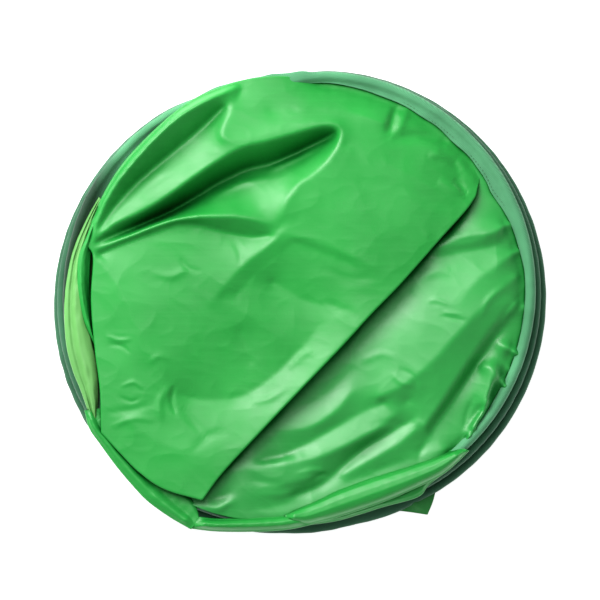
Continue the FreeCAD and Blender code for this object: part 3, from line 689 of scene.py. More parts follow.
FRONT_CREASES = (
    # Ridge over the tape, and the valley under it.
    (PINCH, (-203, 80, 50), (-189, 110, 55), (-171, 134, 58.5), (-150, 158, 60), (-126, 181, 60),
     (-101, 197, 58), (-80, 207, 54), (-64, 214, 47)),
    ((-200, 73, 46), (-182, 98, 43), (-161, 120, 41), (-138, 140, 40), (-114, 160, 40), (-93, 178, 41),
     (-76, 195, 44)),
    ((-187, 83, 48), (-164, 101, 48.5), (-139, 118, 49), (-114, 138, 49.5)),
    # Second ridge, its tip, and the deep pocket below it.
    (PINCH, (-186, 77, 50.5), (-160, 89, 52.5), (-134, 104.5, 54), (-108, 123, 55.3), (-82, 140.5, 56.5),
     (-56, 154.5, 57.5), (-31, 160.5, 57), (-5, 168, 56.5), (21, 175, 56), (35, 175, 56), (41, 169, 56),
     (38, 156, 57), (28, 140.5, 58), (12.5, 126, 58.3), (0, 118, 58)),
    ((-201, 60.5, 43), (-180, 68, 39), (-157, 77, 34), (-131, 89, 30), (-104, 105, 28), (-78, 121, 27),
     (-52, 133, 27), (-27, 139, 28), (0, 150, 30), (22, 161, 36), (35, 168, 45)),
    # Third ridge and its blunt end.
    ((-204, 52, 46), (-168, 66.5, 52), (-142.5, 77, 55), (-118, 83, 56.5), (-82, 86, 57.5), (-56, 84, 57.5),
     (-36, 79, 56), (-20, 72, 53)),
    ((0, 118, 58), (-11, 104, 58), (-17, 90, 57), (-19, 76, 53.5)),
    ((50, 150, 56.5), (40, 132, 57.5), (25, 115, 58), (8, 98, 57.5), (-3, 82, 55.5)),
    ((-200, 47, 42), (-177, 58.5, 44), (-142.5, 70.5, 46), (-119, 78, 47), (-100, 76, 45.5), (-74, 69, 44),
     (-50, 65, 45), (-30, 66, 49)),
    # Edge of the smooth, pale place behind the second ridge.
    ((-58, 212, 43), (-68, 192, 50), (-77, 172, 55), (-75, 161.5, 57), (-48, 163, 57), (-13.5, 172, 56),
     (21, 179, 55.5), (38, 177, 55.5)),
    ((-30, 190, 48), (20, 194, 48.5), (60, 186, 50), (84, 178, 50)),
    # Right of the tip: a faint ridge down to the fold, and the cloth drawn in at the tape.
    ((46, 158, 55), (80, 140, 54.5), (120, 120, 53), (150, 100, 50)),
    ((60, 120, 56), (95, 92, 56), (128, 66, 55)),
    ((100, 168, 47), (125, 160, 45), (148, 142, 43), (160, 126, 41)),
    # The flap below: a soft ridge down its left, a crease round the bowl, a rise to the fold.
    ((-200, 42, 46.5), (-182, 18, 49.3), (-168, -10, 50.5), (-150, -45, 50.5), (-137, -76, 49.3),
     (-130, -90, 48)),
    ((-128, -89, 47), (-112, -95, 42.5), (-100, -97, 42), (-65, -96, 42), (-38, -82, 43), (-12, -60, 44.5),
     (8, -38, 46.5), (20, -20, 48)),
    ((-76, 5, 48.6), (-54, -11, 48.2), (-36, -22, 47.4), (-22, -42, 46)),
    ((-19, 67, 54.3), (-36, 53, 54), (-55, 38, 52.8), (-76, 16, 50.6), (-92, -4, 48.8)),
    ((-10, 56, 51.6), (-27, 41, 50), (-45, 26, 48.5), (-63, 8, 47.4)),
    ((-19, 70, 54.5), (20, 58, 55.3), (45, 49, 56), (68, 38, 57), (76, 34, 56.6)),
    ((-6, 60, 52), (20, 50, 52.4), (44, 41, 53.4), (60, 32, 54.8)),
    ((-28, 20, 44.5), (4, 2, 45), (34, -4, 48.5)),
    ((-60, -30, 44.5), (-50, -60, 42.5)),
    ((-168, -120, 49.5), (-140, -140, 50.5), (-100, -150, 51), (-70, -140, 51.5)))
# Small creases near the tape, at the left and below the bowl: points, height and width.
FRONT_STROKES = (
    (((-30, 132), (0, 146), (24, 160)), 2.2, 3.5), (((-90, 103), (-60, 118), (-30, 124)), 1.4, 4.0),
    (((97, 196), (92, 182), (88, 166)), -3.2, 4.0), (((108, 196), (103, 182), (98, 168)), 1.6, 4.0),
    (((92, 164), (118, 165), (148, 160)), -3.4, 6.0), (((128, 146), (140, 147), (156, 142)), 2.2, 5.0),
    (((138, 152), (150, 143), (161, 130)), -2.2, 4.5), (((152, 122), (160, 116), (166, 106)), -2.4, 4.0),
    (((138, 122), (152, 113), (166, 108)), 2.0, 6.0), (((-126, -84), (-128, -98), (-124, -112)), -1.6, 2.6),
    (((-132, -86), (-140, -100), (-139, -118)), 1.2, 4.0),
    (((-118, -104), (-104, -122), (-92, -136)), -1.2, 6.0),
    (((-193, -34), (-180, -38), (-168, -37)), 1.0, 2.0), (((-190, -42), (-178, -44), (-170, -50)), -1.0, 2.0),
    (((-178, -84), (-166, -80), (-156, -86)), 1.0, 2.0), (((-180, -95), (-168, -99), (-160, -96)), -0.9, 2.0),
    (((-194, -110), (-170, -108), (-148, -102)), -1.1, 4.0),
    (((-188, -124), (-165, -116), (-146, -118)), 1.0, 3.0), (((-150, 30), (-128, 26), (-112, 34)), 0.9, 4.0),
    (((-120, 44), (-112, 34), (-98, 30)), -0.9, 3.0), (((-66, 60), (-60, 48), (-60, 36)), -0.8, 3.0),
    (((-12, -66), (4, -52), (14, -50)), 1.0, 4.0), (((58, -16), (46, -8), (34, -10)), -0.8, 5.0),
    (((-72, -128), (-90, -134), (-108, -148)), -1.0, 5.0), (((20, 34), (50, 22), (74, 26)), -0.9, 6.0),
    (((-150, -60), (-140, -54), (-128, -58)), 0.8, 3.0), (((-46, -100), (-30, -96), (-14, -86)), 1.0, 3.5))


def front_relief():
    """The near fabric: three ridges that fan out from a pinch at the left, and a shallow bowl."""
    relief = Relief()
    relief.draw(FRONT_LEFT, FRONT_TOP)
    for gap, height in ((-3.5, 34.0), (-1, 34.4), (5, 36.0), (11, 40.5)):
        relief.lines.append(rim_between(UPPER, gap, 33, 85, height, sewn=True))
    relief.draw(FRONT_FOLD, FRONT_FOOT, *FRONT_CREASES)
    relief.swell(60, 90, 60, 30, -30, 1.2)
    relief.swell(-150, 112, 26, 9, 45, 2.0)
    relief.strokes += FRONT_STROKES
    return relief.solve(rounding=1.7)


def flat(line):
    """The line of a crease, without its heights."""
    return [point[:2] for point in line]


def make_front_cloth(relief, below):
    """Front cloth, with its turned edge lying on the rear cloth's relief."""
    left = [*flat(FRONT_LEFT[:4]), (-205, 45), *flat(FRONT_TOP[:8])]
    tape = rim_between(UPPER, UNDER_TAPE, 34, 86, sewn=True)[::-6]
    top = np.vstack([flat(FRONT_TOP[7:13]), tape, flat(FRONT_FOLD[:1])])
    places = four_sides(left, flat(FRONT_FOLD[::-1]), flat(FRONT_FOOT[::-1]), top, 330, 250)
    cloth = cloth_sheet("front_cloth", 11, places, relief, below=below)
    finish_piece(cloth, "canopy_fabric", "upper_turn", ["canopy_front"])


# ---- upper turn: rear cloth ----

# From behind the fold to the tape at the right and the foot.
REAR_CREASES = (
    ((-210, -110, 40), (-120, -60, 38), (0, -20, 38.5), (60, 30, 39), (120, 90, 39), (150, 120, 37)),
    ((-190, -138, 40), (-176, -150, 39), (-150, -172, 38.5), (-128, -188, 38.5), (-104, -200, 39)),
    ((-78, -150, 40), (-20, -90, 38), (30, -42, 38), (80, 6, 38.5), (122, 48, 39)),
    # Fans near the top of the fold.
    ((144, 74, 38), (164, 94, 37), (178, 106, 36)),
    ((136, 54, 45), (159, 62, 47.5), (188, 68, 48.5), (203, 75, 45), (212, 78, 39)),
    ((134, 44, 42), (160, 50, 42.5), (186, 54, 42), (210, 62, 38.5)),
    ((222, 52, 38), (214, 49, 42), (200, 39, 47), (178, 23, 50), (160, 2, 51.5)),
    # Broad pale band, its far edge, and the shaded slope beyond.
    ((218, 26, 42), (198, 12, 48), (180, -6, 52), (158, -31, 54), (131, -60, 53), (104, -82, 50.5),
     (80, -94, 46)),
    ((110, 10, 39.5), (82, -20, 39), (54, -48, 38.5)),
    ((216, -1, 43), (190, -26, 46), (166, -60, 46.5), (142, -98, 44.5), (124, -124, 42)),
    # Crease down the right, and the bulge beyond it.
    ((226, -4, 38), (213, -14, 37.5), (196, -35, 37), (179, -60, 36), (153, -98, 35), (135, -124, 35),
     (118, -154, 36.5)),
    ((198, -42, 41), (208, -46, 45), (218, -52, 44.5), (225, -55, 40)),
    ((196, -54, 39), (206, -64, 38.5), (217, -74, 38)),
    ((180, -70, 38.5), (184, -64, 45), (192, -66, 49), (199, -76, 48.5), (207, -86, 46.5), (216, -91, 42)),
    ((190, -70, 48.5), (190, -86, 49), (185, -104, 49), (175, -124, 48), (162, -146, 44.5)),
    # Swags across the foot.
    ((-22, -128, 41), (-2, -128, 42.8), (18, -121, 44), (36, -108, 44), (52, -90, 42)),
    ((-8, -108, 38.5), (12, -101, 37.5), (34, -87, 37.5), (52, -68, 38.5)),
    ((-40, -158, 40), (-20, -154, 38.5), (0, -145, 38.5), (25, -131, 38.5), (58, -112, 38.5),
     (84, -100, 39.5)),
    ((-72, -170, 43), (-45, -165, 45), (-13, -160, 46), (16, -155, 46), (50, -141, 45.3), (84, -122, 43.5),
     (108, -98, 42)),
    ((-58, -186, 44), (-20, -182, 46), (10, -174, 45)),
    ((-6, -194, 38.5), (22, -182, 36), (58, -151, 34.5), (84, -134, 35.5), (112, -118, 38)),
    ((44, -172, 40), (76, -154, 42), (100, -140, 42.3), (116, -126, 41.5)),
    ((-88, -197, 40), (-76, -194, 40), (-68, -186, 42.5)),
    ((-96, -206, 45), (-78, -204, 46.5), (-68, -198, 45)),
    ((-49, -208, 42.2), (-3, -199, 40.5), (29, -188, 39.8), (62, -174, 38.5), (110, -156, 39),
     (146, -146, 39.5)))
REAR_STROKES = (
    (((143, -10), (157, -12), (166, -16)), 0.9, 1.8), (((140, -14), (154, -17), (164, -20)), -0.8, 1.8),
    (((148, -2), (136, 2), (128, 0)), 0.8, 2.4), (((92, -72), (101, -80), (112, -84)), 1.0, 3.0),
    (((98, -66), (112, -74), (118, -86)), -0.9, 3.0), (((60, -60), (80, -52), (96, -56)), 0.8, 4.0),
    (((206, 16), (190, 4), (180, -14)), 1.1, 3.5), (((222, 10), (205, -10), (194, -28)), -1.0, 3.5),
    (((-4, -172), (12, -168), (26, -170)), 0.9, 3.0), (((12, -178), (22, -172), (30, -174)), -0.9, 2.5),
    (((-50, -176), (-34, -180), (-16, -182)), -0.9, 4.0), (((-44, -190), (-20, -192), (0, -186)), 0.9, 4.0),
    (((150, 60), (165, 62), (185, 66)), -0.9, 3.0), (((120, 22), (134, 30), (150, 30)), 1.0, 5.0),
    (((110, -118), (124, -124), (130, -140)), 0.8, 4.0), (((70, -124), (92, -120), (108, -126)), -0.8, 4.0),
    (((196, -108), (190, -118), (192, -130)), 0.9, 2.5), (((176, -92), (168, -108), (164, -124)), -0.9, 3.0))


def rear_relief():
    """The far fabric, seen to the right of the fold: broad swags that fan out from the lower left."""
    relief = Relief()
    for gap, height in ((-3.5, 34.0), (-1, 34.4), (5, 36.0)):
        relief.lines.append(rim_between(UPPER, gap, -45, 46, height, sewn=True))
    for gap, last in ((-1, -50), (-9, -70)):
        relief.lines.append(rim_between(UPPER, gap, -156, last, 42.5))
    relief.draw(*REAR_CREASES)
    relief.swell(120, -20, 40, 18, 50, 1.2)
    relief.strokes += REAR_STROKES
    return relief.solve(rounding=2.1)


def make_rear_cloth(relief):
    """Rear cloth, from behind the front cloth's fold to the tape."""
    bottom = rim_between(UPPER, -9, -150, -74)[::8]
    right = np.vstack([rim_between(UPPER, 0, -66, -52)[::6],
                       rim_between(UPPER, UNDER_TAPE, -45, -8, sewn=True)[::6]])
    top = rim_between(UPPER, UNDER_TAPE, -8, 43, sewn=True)[::-6]
    left = np.vstack([bottom[:1], [(-110, -60), (0, -20), (60, 30), (120, 90)], top[:1]])
    bottom = np.vstack([bottom, right[:1]])
    right = np.vstack([right, top[-1:]])
    places = four_sides(left, right, bottom, top, 320, 240)
    cloth = cloth_sheet("rear_cloth", 10, places, relief, turn_under=1.0, tuck=3.0)
    finish_piece(cloth, "canopy_fabric", "upper_turn", ["canopy_rear"], look="canopy_rear")


# ---- binding tapes ----

def sweep(name, points, normals, sections):
    """Closed skin over sections, each an outline of (outward, height), set along an open line."""
    count, corners = sections.shape[:2]
    flat = points[:, None, :2] + normals[:, None] * sections[..., :1]
    solid = np.concatenate([flat, sections[..., 1:]], axis=2).reshape(-1, 3)
    faces = grid_faces(count, corners, wrap=True)
    faces += [list(range(corners)), list(range((count - 1) * corners, count * corners))]
    return add_mesh(name, solid, faces)


def tape_section():
    """Binding folded round a rod and sewn flat behind it: a round nose and a tail of two plies."""
    nose = [(NOSE * math.cos(turn), NOSE * math.sin(turn)) for turn in np.radians(np.linspace(-142, 142, 19))]
    over = [(-5.6, 1.5), (-8.5, 1.0), (-12.0, 0.9), (-14.4, 0.6), (-15.2, 0.85), (-TAIL + 0.4, 0.75),
            (-TAIL, 0.35)]
    return np.array(nose + over + [(x, -z) for x, z in reversed(over)])


def make_tape(name, turn, stretch, replaced, seed, dips=(), flares=()):
    """Tape along part of a turn, slightly wavy. Its sewn edge dips at some places, (x, y, reach,
    depth), and its nose is loose and stands out at others, (x, y, reach, out)."""
    points, normals = stretch
    count = len(points)
    section = tape_section()
    behind = np.clip(-section[:, 0] / TAIL, 0, 1) ** 1.5
    width = sewn_gap(points)[:, None] if turn == UPPER else np.full((count, 1), TAIL)
    narrow = (width - 5) / (TAIL - 5)
    sway = 0.9 * ripple(count, (9, 34), seed)[:, None] * behind * narrow
    wave = 0.55 * ripple(count, (12, 60), seed + 1)[:, None] * behind
    for x, y, reach, depth in dips:
        near = np.exp(-(np.linalg.norm(points - (x, y), axis=1) / reach) ** 2)
        wave += depth * near[:, None] * behind
        sway -= 0.5 * depth * near[:, None] * behind
    loose = np.zeros((count, 1))
    for x, y, reach, out in flares:
        loose += out * np.exp(-(np.linalg.norm(points - (x, y), axis=1) / reach) ** 4)[:, None]
    swollen = 1 + 0.03 * ripple(count, (20, 80), seed + 2)[:, None] * (behind < 0.01)
    outward = np.where(section[:, 0] < -5, -5 + (section[:, 0] + 5) * narrow, section[:, 0])
    outward = outward * swollen + sway * (behind > 0) + loose * np.clip(section[:, 0] / NOSE, 0, 1)
    height = turn_height(turn) + section[:, 1] * swollen + wave
    tape = sweep(name, points, normals, np.stack([outward, height], axis=2))
    finish_piece(tape, "binding_tape" if turn == UPPER else "dark_binding", BODIES[turn], [replaced])


def make_tapes():
    """The tapes of all three turns, parted at their crossings."""
    make_tape("upper_tape", UPPER, part_of_rim(UPPER, GAP_ABOVE, GAP_ABOVE), "upper_sleeve", 11,
              dips=((189, 122, 10, -2.0), (178, -110, 16, -1.6), (150, -150, 14, -2.0),
                    (-125, 184, 46, -3.0)),
              flares=((-60, 210, 38, 7.5), (-12, 222, 22, 4.0), (-234, -6, 90, -2.2)))
    make_tape("middle_tape_right", MIDDLE, part_of_rim(MIDDLE, GAP_BELOW, GAP_ABOVE, "right"),
              "middle_sleeve_right", 21)
    make_tape("middle_tape_left", MIDDLE, part_of_rim(MIDDLE, GAP_ABOVE, GAP_BELOW, "left"),
              "middle_sleeve_left", 31)
    make_tape("lower_tape", LOWER, part_of_rim(LOWER, GAP_BELOW, GAP_BELOW), "lower_sleeve", 41,
              flares=((50, -214, 56, 7.0),))


# ---- upper turn: gathered edges ----

def fold_band(name, outer, inner, profile, seed, rows=26, flutter=0.35):
    """Strip of gathered fabric between two lines of (x, y, z). The profile gives its lift at parts of
    the way across, from its outer to its inner edge, and both of its edges turn down."""
    outer, inner = smooth_line(outer, 1.6), smooth_line(inner, 1.6)
    count = max(len(outer), len(inner))
    outer, inner = spread(outer, count), spread(inner, count)
    part = np.linspace(0, 1, rows)
    finer = np.linspace(-0.2, 1.2, rows * 3)
    lift = blur(np.interp(finer, *zip(*profile))[:, None], 1.6)[:, 0]
    lift = np.interp(part, finer, lift)
    ends = np.clip(np.minimum(np.arange(count), np.arange(count)[::-1]) / 7.0, 0.15, 1)
    points = outer[None] * (1 - part)[:, None, None] + inner[None] * part[:, None, None]
    waves = np.array([ripple(count, (2, 16), seed + row // 4) for row in range(rows)])
    points[..., 2] += lift[:, None] * ends[None] + flutter * blur(waves, 1.2) * np.sin(np.pi * part)[:, None]
    across = (inner - outer)[:, :2]
    across /= np.linalg.norm(across, axis=1)[:, None] + 1e-9
    skirts = [[edge + np.column_stack([across * way * out, np.full(count, -down)]) for out, down in SKIRT]
              for edge, way in ((points[0], 1), (points[-1], -1))]
    whole = np.array(skirts[0][::-1] + list(points) + skirts[1])
    return add_mesh(name, whole.reshape(-1, 3), grid_faces(len(whole), count), sheet=True)


# How a gathered edge turns down at either side: steps of (outward, down).
SKIRT = (-0.9, 0.5), (-1.3, 1.6), (-0.9, 2.8), (0.2, 4.0), (1.2, 5.0)
# Gathered edges: the line of the outer edge, of the inner edge, and the lift across.
LIME_FOLD = (
    ((-200, 104, 41), (-209, 88, 41), (-216, 74, 41), (-223, 58, 41), (-229, 38, 41), (-233.5, 9, 41),
     (-234, -18, 41), (-231.5, -46, 41), (-225, -70, 41), (-217, -90, 41), (-206, -122, 41)),
    ((-198, 102, 42), (-204, 87, 42), (-208, 73, 42), (-212, 58, 42), (-216, 38, 42), (-215, 12, 42),
     (-213, -17, 42), (-209, -40, 42), (-204, -60, 42), (-202, -88, 42), (-203, -118, 42)),
    ((-0.2, 0), (0, 0.4), (0.12, 1.8), (0.26, 0.0), (0.5, 3.6), (0.75, 2.4), (1.0, -1.0), (1.2, -1)))
POCKET_FOLD = (
    ((-206, 80, 45), (-212, 64, 46), (-220, 44, 45), (-221, 22, 45), (-219, 2, 44), (-214, -20, 43),
     (-207, -36, 42), (-203, -46, 41)),
    ((-203, 78, 46), (-208, 62, 46), (-210, 44, 44), (-211, 22, 43), (-210, 2, 42), (-207, -20, 42),
     (-204, -36, 41), (-202, -46, 41)),
    ((-0.2, 0), (0, 0.5), (0.3, 2.2), (0.6, 0.6), (0.8, -1.5), (1.0, -3.0), (1.2, -3)))
SIDE_BAND = (
    ((-214, -108, 42), (-209, -126, 42), (-198, -142, 42), (-181, -165, 42), (-163, -186, 42),
     (-150, -199, 42), (-129, -214, 42), (-108, -226, 43)),
    ((-199, -106, 42), (-190, -122, 42), (-178, -132, 42), (-164, -146, 41.5), (-143, -165, 41.5),
     (-121, -184, 41.5), (-106, -202, 42), (-101, -216, 43)),
    ((-0.2, 0), (0, 0.2), (0.12, 3.0), (0.25, 4.2), (0.36, 2.4), (0.48, 0.3), (0.9, 0.3), (1.0, -1.0),
     (1.2, -1)))
FOOT_ROLL = (
    ((-111, -225, 41), (-82, -228, 41), (-44, -228, 41), (-13, -226, 41), (12, -221, 41)),
    ((-101, -215, 43), (-82, -217, 43), (-50, -216, 43), (-20, -214, 43), (6, -209, 43)),
    ((-0.2, 0), (0, 1.0), (0.15, 4.0), (0.35, 6.5), (0.6, 6.5), (0.85, 3.0), (1.0, -1.0), (1.2, -1)))
FOOT_TUBE = (
    ((-17, -216, 43), (4, -221, 41), (20, -218, 41), (39, -213, 41), (84, -198, 41), (123, -181, 41),
     (145, -169, 41), (168, -148, 40)),
    ((-14, -212, 43), (0, -204, 41), (20, -195, 40), (36, -187, 39.5), (68, -175, 39), (107, -163, 39),
     (135, -154, 39), (161, -145, 39)),
    ((-0.2, 0), (0, 1.0), (0.08, 5.5), (0.2, 8.5), (0.38, 10.5), (0.6, 10.0), (0.8, 7.0), (0.93, 1.0),
     (1.0, -3.0), (1.2, -3)))
FOOT_STRIP = (
    ((-30, -226, 33), (29, -219, 33), (60, -211, 33), (82, -204, 33), (117, -194, 33), (128, -182, 34),
     (141, -172, 36)),
    ((-30, -220, 40), (20, -212, 40), (50, -204, 40), (84, -192, 40), (110, -182, 40), (126, -175, 40),
     (139, -168, 39)),
    ((-0.2, 0), (0, 1.0), (0.2, 2.0), (0.5, 1.0), (1.0, -1.0), (1.2, -1)))


def make_edges():
    """Lining and canopy pulled out past the pinch, down the left side and round the foot. The last
    three lie over crossing A and are given no body."""
    canopy, upper, tape = "canopy_fabric", "upper_turn", "upper_tape"
    for name, lines, seed, more, slot, body, replaced, size, under in (
            ("lime_fold", LIME_FOLD, 51, {}, "lining_fabric", upper, ["side_gather"], (0.24, 0.032), tape),
            ("pocket_fold", POCKET_FOLD, 61, {"rows": 20}, canopy, upper, [], (0.13, 0.026), "lime_fold"),
            ("side_band", SIDE_BAND, 71, {}, canopy, upper, [], (0.16, 0.042), tape),
            ("foot_roll", FOOT_ROLL, 81, {"rows": 20}, canopy, None, [], (0.125, 0.026), tape),
            ("foot_tube", FOOT_TUBE, 85, {"rows": 34, "flutter": 0.12}, canopy, None, ["bottom_roll"],
             (0.21, 0.048), tape),
            ("foot_strip", FOOT_STRIP, 91, {}, canopy, None, [], (0.19, 0.028), tape)):
        band = fold_band(name, *lines, seed, **more)
        finish_piece(band, slot, body, replaced)


# ---- layers inside the turns ----

def disc_places(turn, gap, rings=70, spokes=240):
    """Places inside a turn, ring by ring from its middle out to a gap from the rod."""
    line, normals = part_of_rim(turn, 0, 0)
    edge = line - normals * gap
    edge = spread(np.vstack([edge, edge[:1]]), spokes + 1)[:-1]
    middle = edge.mean(axis=0)
    part = np.linspace(0, 1, rings + 1)[1:, None, None]
    return middle + (edge[None] - middle) * part


def wrinkles(places, seed, size, waves=9):
    """Random soft folds between 0 and 1 over places; size is their spacing."""
    source = np.random.default_rng(seed)
    total = np.zeros(places.shape[:-1])
    for _ in range(waves):
        turn, shift = source.uniform(0, TAU, 2)
        spacing = size * source.uniform(0.6, 1.6)
        along = places[..., 0] * math.cos(turn) + places[..., 1] * math.sin(turn)
        total += np.sin(TAU * along / spacing + shift)
    return 1 - np.clip(np.abs(total) / math.sqrt(waves) / 1.3, 0, 1) ** 0.8


def fill_ring(points, faces, first, spokes):
    """Fill a ring of vertices with triangles round one more vertex at its middle."""
    middle = len(points)
    points = np.vstack([points, points[first:first + spokes].mean(axis=0)])
    faces += [[middle, first + spoke, first + (spoke + 1) % spokes] for spoke in range(spokes)]
    return points


def disc_sheet(name, places, heights):
    """Single-ply sheet over the rings of a disc."""
    rings, spokes = places.shape[:2]
    faces = grid_faces(rings, spokes, wrap=True)
    points = fill_ring(raised(places, heights).reshape(-1, 3), faces, 0, spokes)
    return add_mesh(name, points, faces, sheet=True)


def folded_pack(name, turn, gap, low, high, seed, seats=(), folds=3):
    """Closed pad of folded fabric: wrinkled above and below, with its folds showing as lobes round its
    side. Seats are flat places (x, y, reach) where something lies on it."""
    places = disc_places(turn, gap)
    rings, spokes = places.shape[:2]
    fade = np.clip((1 - np.linspace(0, 1, rings)) * 9, 0, 1)[:, None]
    creased = wrinkles(places, seed, 70.0) * 1.7 + wrinkles(places, seed + 1, 30.0) * 0.6
    for x, y, reach in seats:
        creased = creased * (1 - np.exp(-(np.hypot(places[..., 0] - x, places[..., 1] - y) / reach) ** 4))
    above = high - 0.2 - creased * fade - (1 - fade) * 1.0
    below = low + 0.2 + wrinkles(places, seed + 2, 80.0) * 1.2 * fade + (1 - fade) * 1.0
    outward = outward_of(places[-1], closed=True)
    lobe = (high - low - 2.4) / folds
    side = []
    for fold in range(folds):
        reach = 2.2 + 1.3 * ripple(spokes, (3, 14), seed + 10 + fold)
        for turned in np.radians(np.linspace(80, -80, 7)):
            level = high - 1.2 - lobe * (fold + 0.5 - 0.5 * math.sin(turned))
            row = places[-1] + outward * (reach * math.cos(turned))[:, None]
            side.append(np.column_stack([row, np.full(spokes, level)]))
    points = np.concatenate([raised(places, above), side, raised(places, below)[::-1]]).reshape(-1, 3)
    rows = len(points) // spokes
    faces = grid_faces(rows, spokes, wrap=True)
    for first in (0, (rows - 1) * spokes):
        points = fill_ring(points, faces, first, spokes)
    return add_mesh(name, points, faces)


def make_lining(front, rear):
    """Inner tent, seen when the upper turn is lifted: it hangs just under the canopy."""
    places = disc_places(UPPER, 12, 110, 360)
    heights = 35.2 - 1.6 * wrinkles(places, 101, 90.0) - 0.6 * wrinkles(places, 102, 34.0)
    edge = np.linspace(0, 1, len(places))[:, None] ** 8
    heights = heights * (1 - edge) + 35.4 * edge
    heights = np.minimum(heights, np.minimum(front.at(places) - 2.2, rear.at(places) - 1.4))
    lining = disc_sheet("lining", places, heights)
    finish_piece(lining, "lining_fabric", "upper_turn", ["inner_lining"])


def laid_sheet(name, places, heights):
    """Single-ply sheet over a grid of places."""
    points = raised(places, heights).reshape(-1, 3)
    return add_mesh(name, points, grid_faces(*places.shape[:2]), sheet=True)


def make_back():
    """Folded back of the tent with the door lying on it. The door is flat under the zip and the net."""
    back = folded_pack("back_folds", MIDDLE, 17, 15.4, 24.4, 111, seats=((0, -10, 135),))
    finish_piece(back, "canopy_fabric", "middle_turn", ["back_panel"])
    reach = np.linspace(-DOOR_HALF, DOOR_HALF, 41)
    arc = DOOR_TOP - DOOR_DEPTH * np.sqrt(np.clip(1 - (reach / DOOR_HALF) ** 2, 0, 1))
    foot = [(-119, -20)] + [(u, v) for u, v in zip(reach, arc) if abs(u) < 112] + [(119, -20)]
    right = [(119, -20), (124, 0), (DOOR_HALF, 20), (DOOR_HALF, DOOR_TOP)]
    places = four_sides([(-u, v) for u, v in right], right, foot,
                        [(u, DOOR_TOP) for u in (-DOOR_HALF, -40, 40, DOOR_HALF)], 90, 120)
    from_zip = np.abs(places[..., 1] - ZIP_LINE) / 8 - 1
    from_net = np.maximum(np.abs(places[..., 0]) - NET_HALF - 6,
                          np.abs(places[..., 1] - (NET_TOP + NET_FOOT) / 2) - 35) / 8
    calm = np.clip(np.minimum(from_zip, from_net), 0, 1)
    places = in_tent_axes(places, MIDDLE)
    heights = 25.0 + 1.9 * calm * wrinkles(places, 121, 42.0) + 0.7 * calm * wrinkles(places, 122, 17.0)
    door = laid_sheet("door_cloth", places, heights)
    finish_piece(door, "canopy_fabric", "middle_turn", ["door_panel"], look="canopy_rear")
    across, along = np.meshgrid(np.linspace(-NET_HALF, NET_HALF, 60), np.linspace(NET_FOOT, NET_TOP, 30),
                                indexing="ij")
    places = in_tent_axes(np.stack([across, along], axis=2), MIDDLE)
    net = laid_sheet("vent_net", places, 26.0 + 0.35 * wrinkles(places, 131, 20.0))
    finish_piece(net, "vent_mesh", "middle_turn", ["vent_mesh"])
    corners = [(-64, -72), (-60, -79), (0, -79), (60, -79), (64, -72), (64, -50), (64, -28), (60, -21),
               (0, -21), (-60, -21), (-64, -28), (-64, -50)]
    line = smooth_line(in_tent_axes(corners, MIDDLE), closed=True)
    line = np.vstack([line, line[:1]])
    band = [(3.4, 0), (3.0, 0.45), (0, 0.6), (-3.0, 0.45), (-3.4, 0), (-3.0, -0.3), (3.0, -0.3)]
    section = np.array(band)[None] + (0, 26.1)
    hem = sweep("vent_hem", line, outward_of(line), np.repeat(section, len(line), axis=0))
    finish_piece(hem, "dark_binding", "middle_turn")


def make_floor():
    """Ground sheet: a flat underside, the rest folded above it, and a corner that sticks out."""
    folds = folded_pack("floor_folds", LOWER, 17, 1.7, 11.0, 141)
    finish_piece(folds, "floor_fabric", "lower_turn", ["groundsheet"])
    places = disc_places(LOWER, 7, 80, 300)
    rise = np.linspace(0, 1, len(places))[:, None] ** 14
    heights = 0.25 + 1.1 * wrinkles(places, 151, 110.0) ** 3 * (1 - rise) + 4.5 * rise
    under = disc_sheet("floor_underside", places, heights)
    finish_piece(under, "floor_fabric", "lower_turn")
    relief = Relief()
    relief.draw(((84, -196, 7), (97, -210, 4.5), (112, -211, 3.5), (128, -213.5, 1.5)),
                ((128, -213.5, 1.5), (134, -198, 4), (138, -178, 5)),
                ((108, -190, 9), (115, -201, 10), (127, -212, 3)),
                ((84, -196, 7), (108, -190, 9), (138, -178, 5)))
    relief.solve(rounding=1.2)
    places = four_sides([(96, -209), (90, -203), (84, -196)], [(128, -213.5), (134, -198), (138, -178)],
                        [(96, -209), (112, -211), (128, -213.5)],
                        [(84, -196), (108, -188), (138, -178)], 30, 30)
    corner = cloth_sheet("floor_corner", 12, places, relief, turn_under=0.5, tuck=4.0, crumple=0.2)
    finish_piece(corner, "floor_fabric", "lower_turn")


def eased(part, start, end, start_slope=0.0, end_slope=0.0):
    """Cubic from one value to another, with slopes given over its whole length."""
    return (start * (1 - part) ** 2 * (1 + 2 * part) + end * part ** 2 * (3 - 2 * part)
            + start_slope * part * (1 - part) ** 2 - end_slope * part ** 2 * (1 - part))


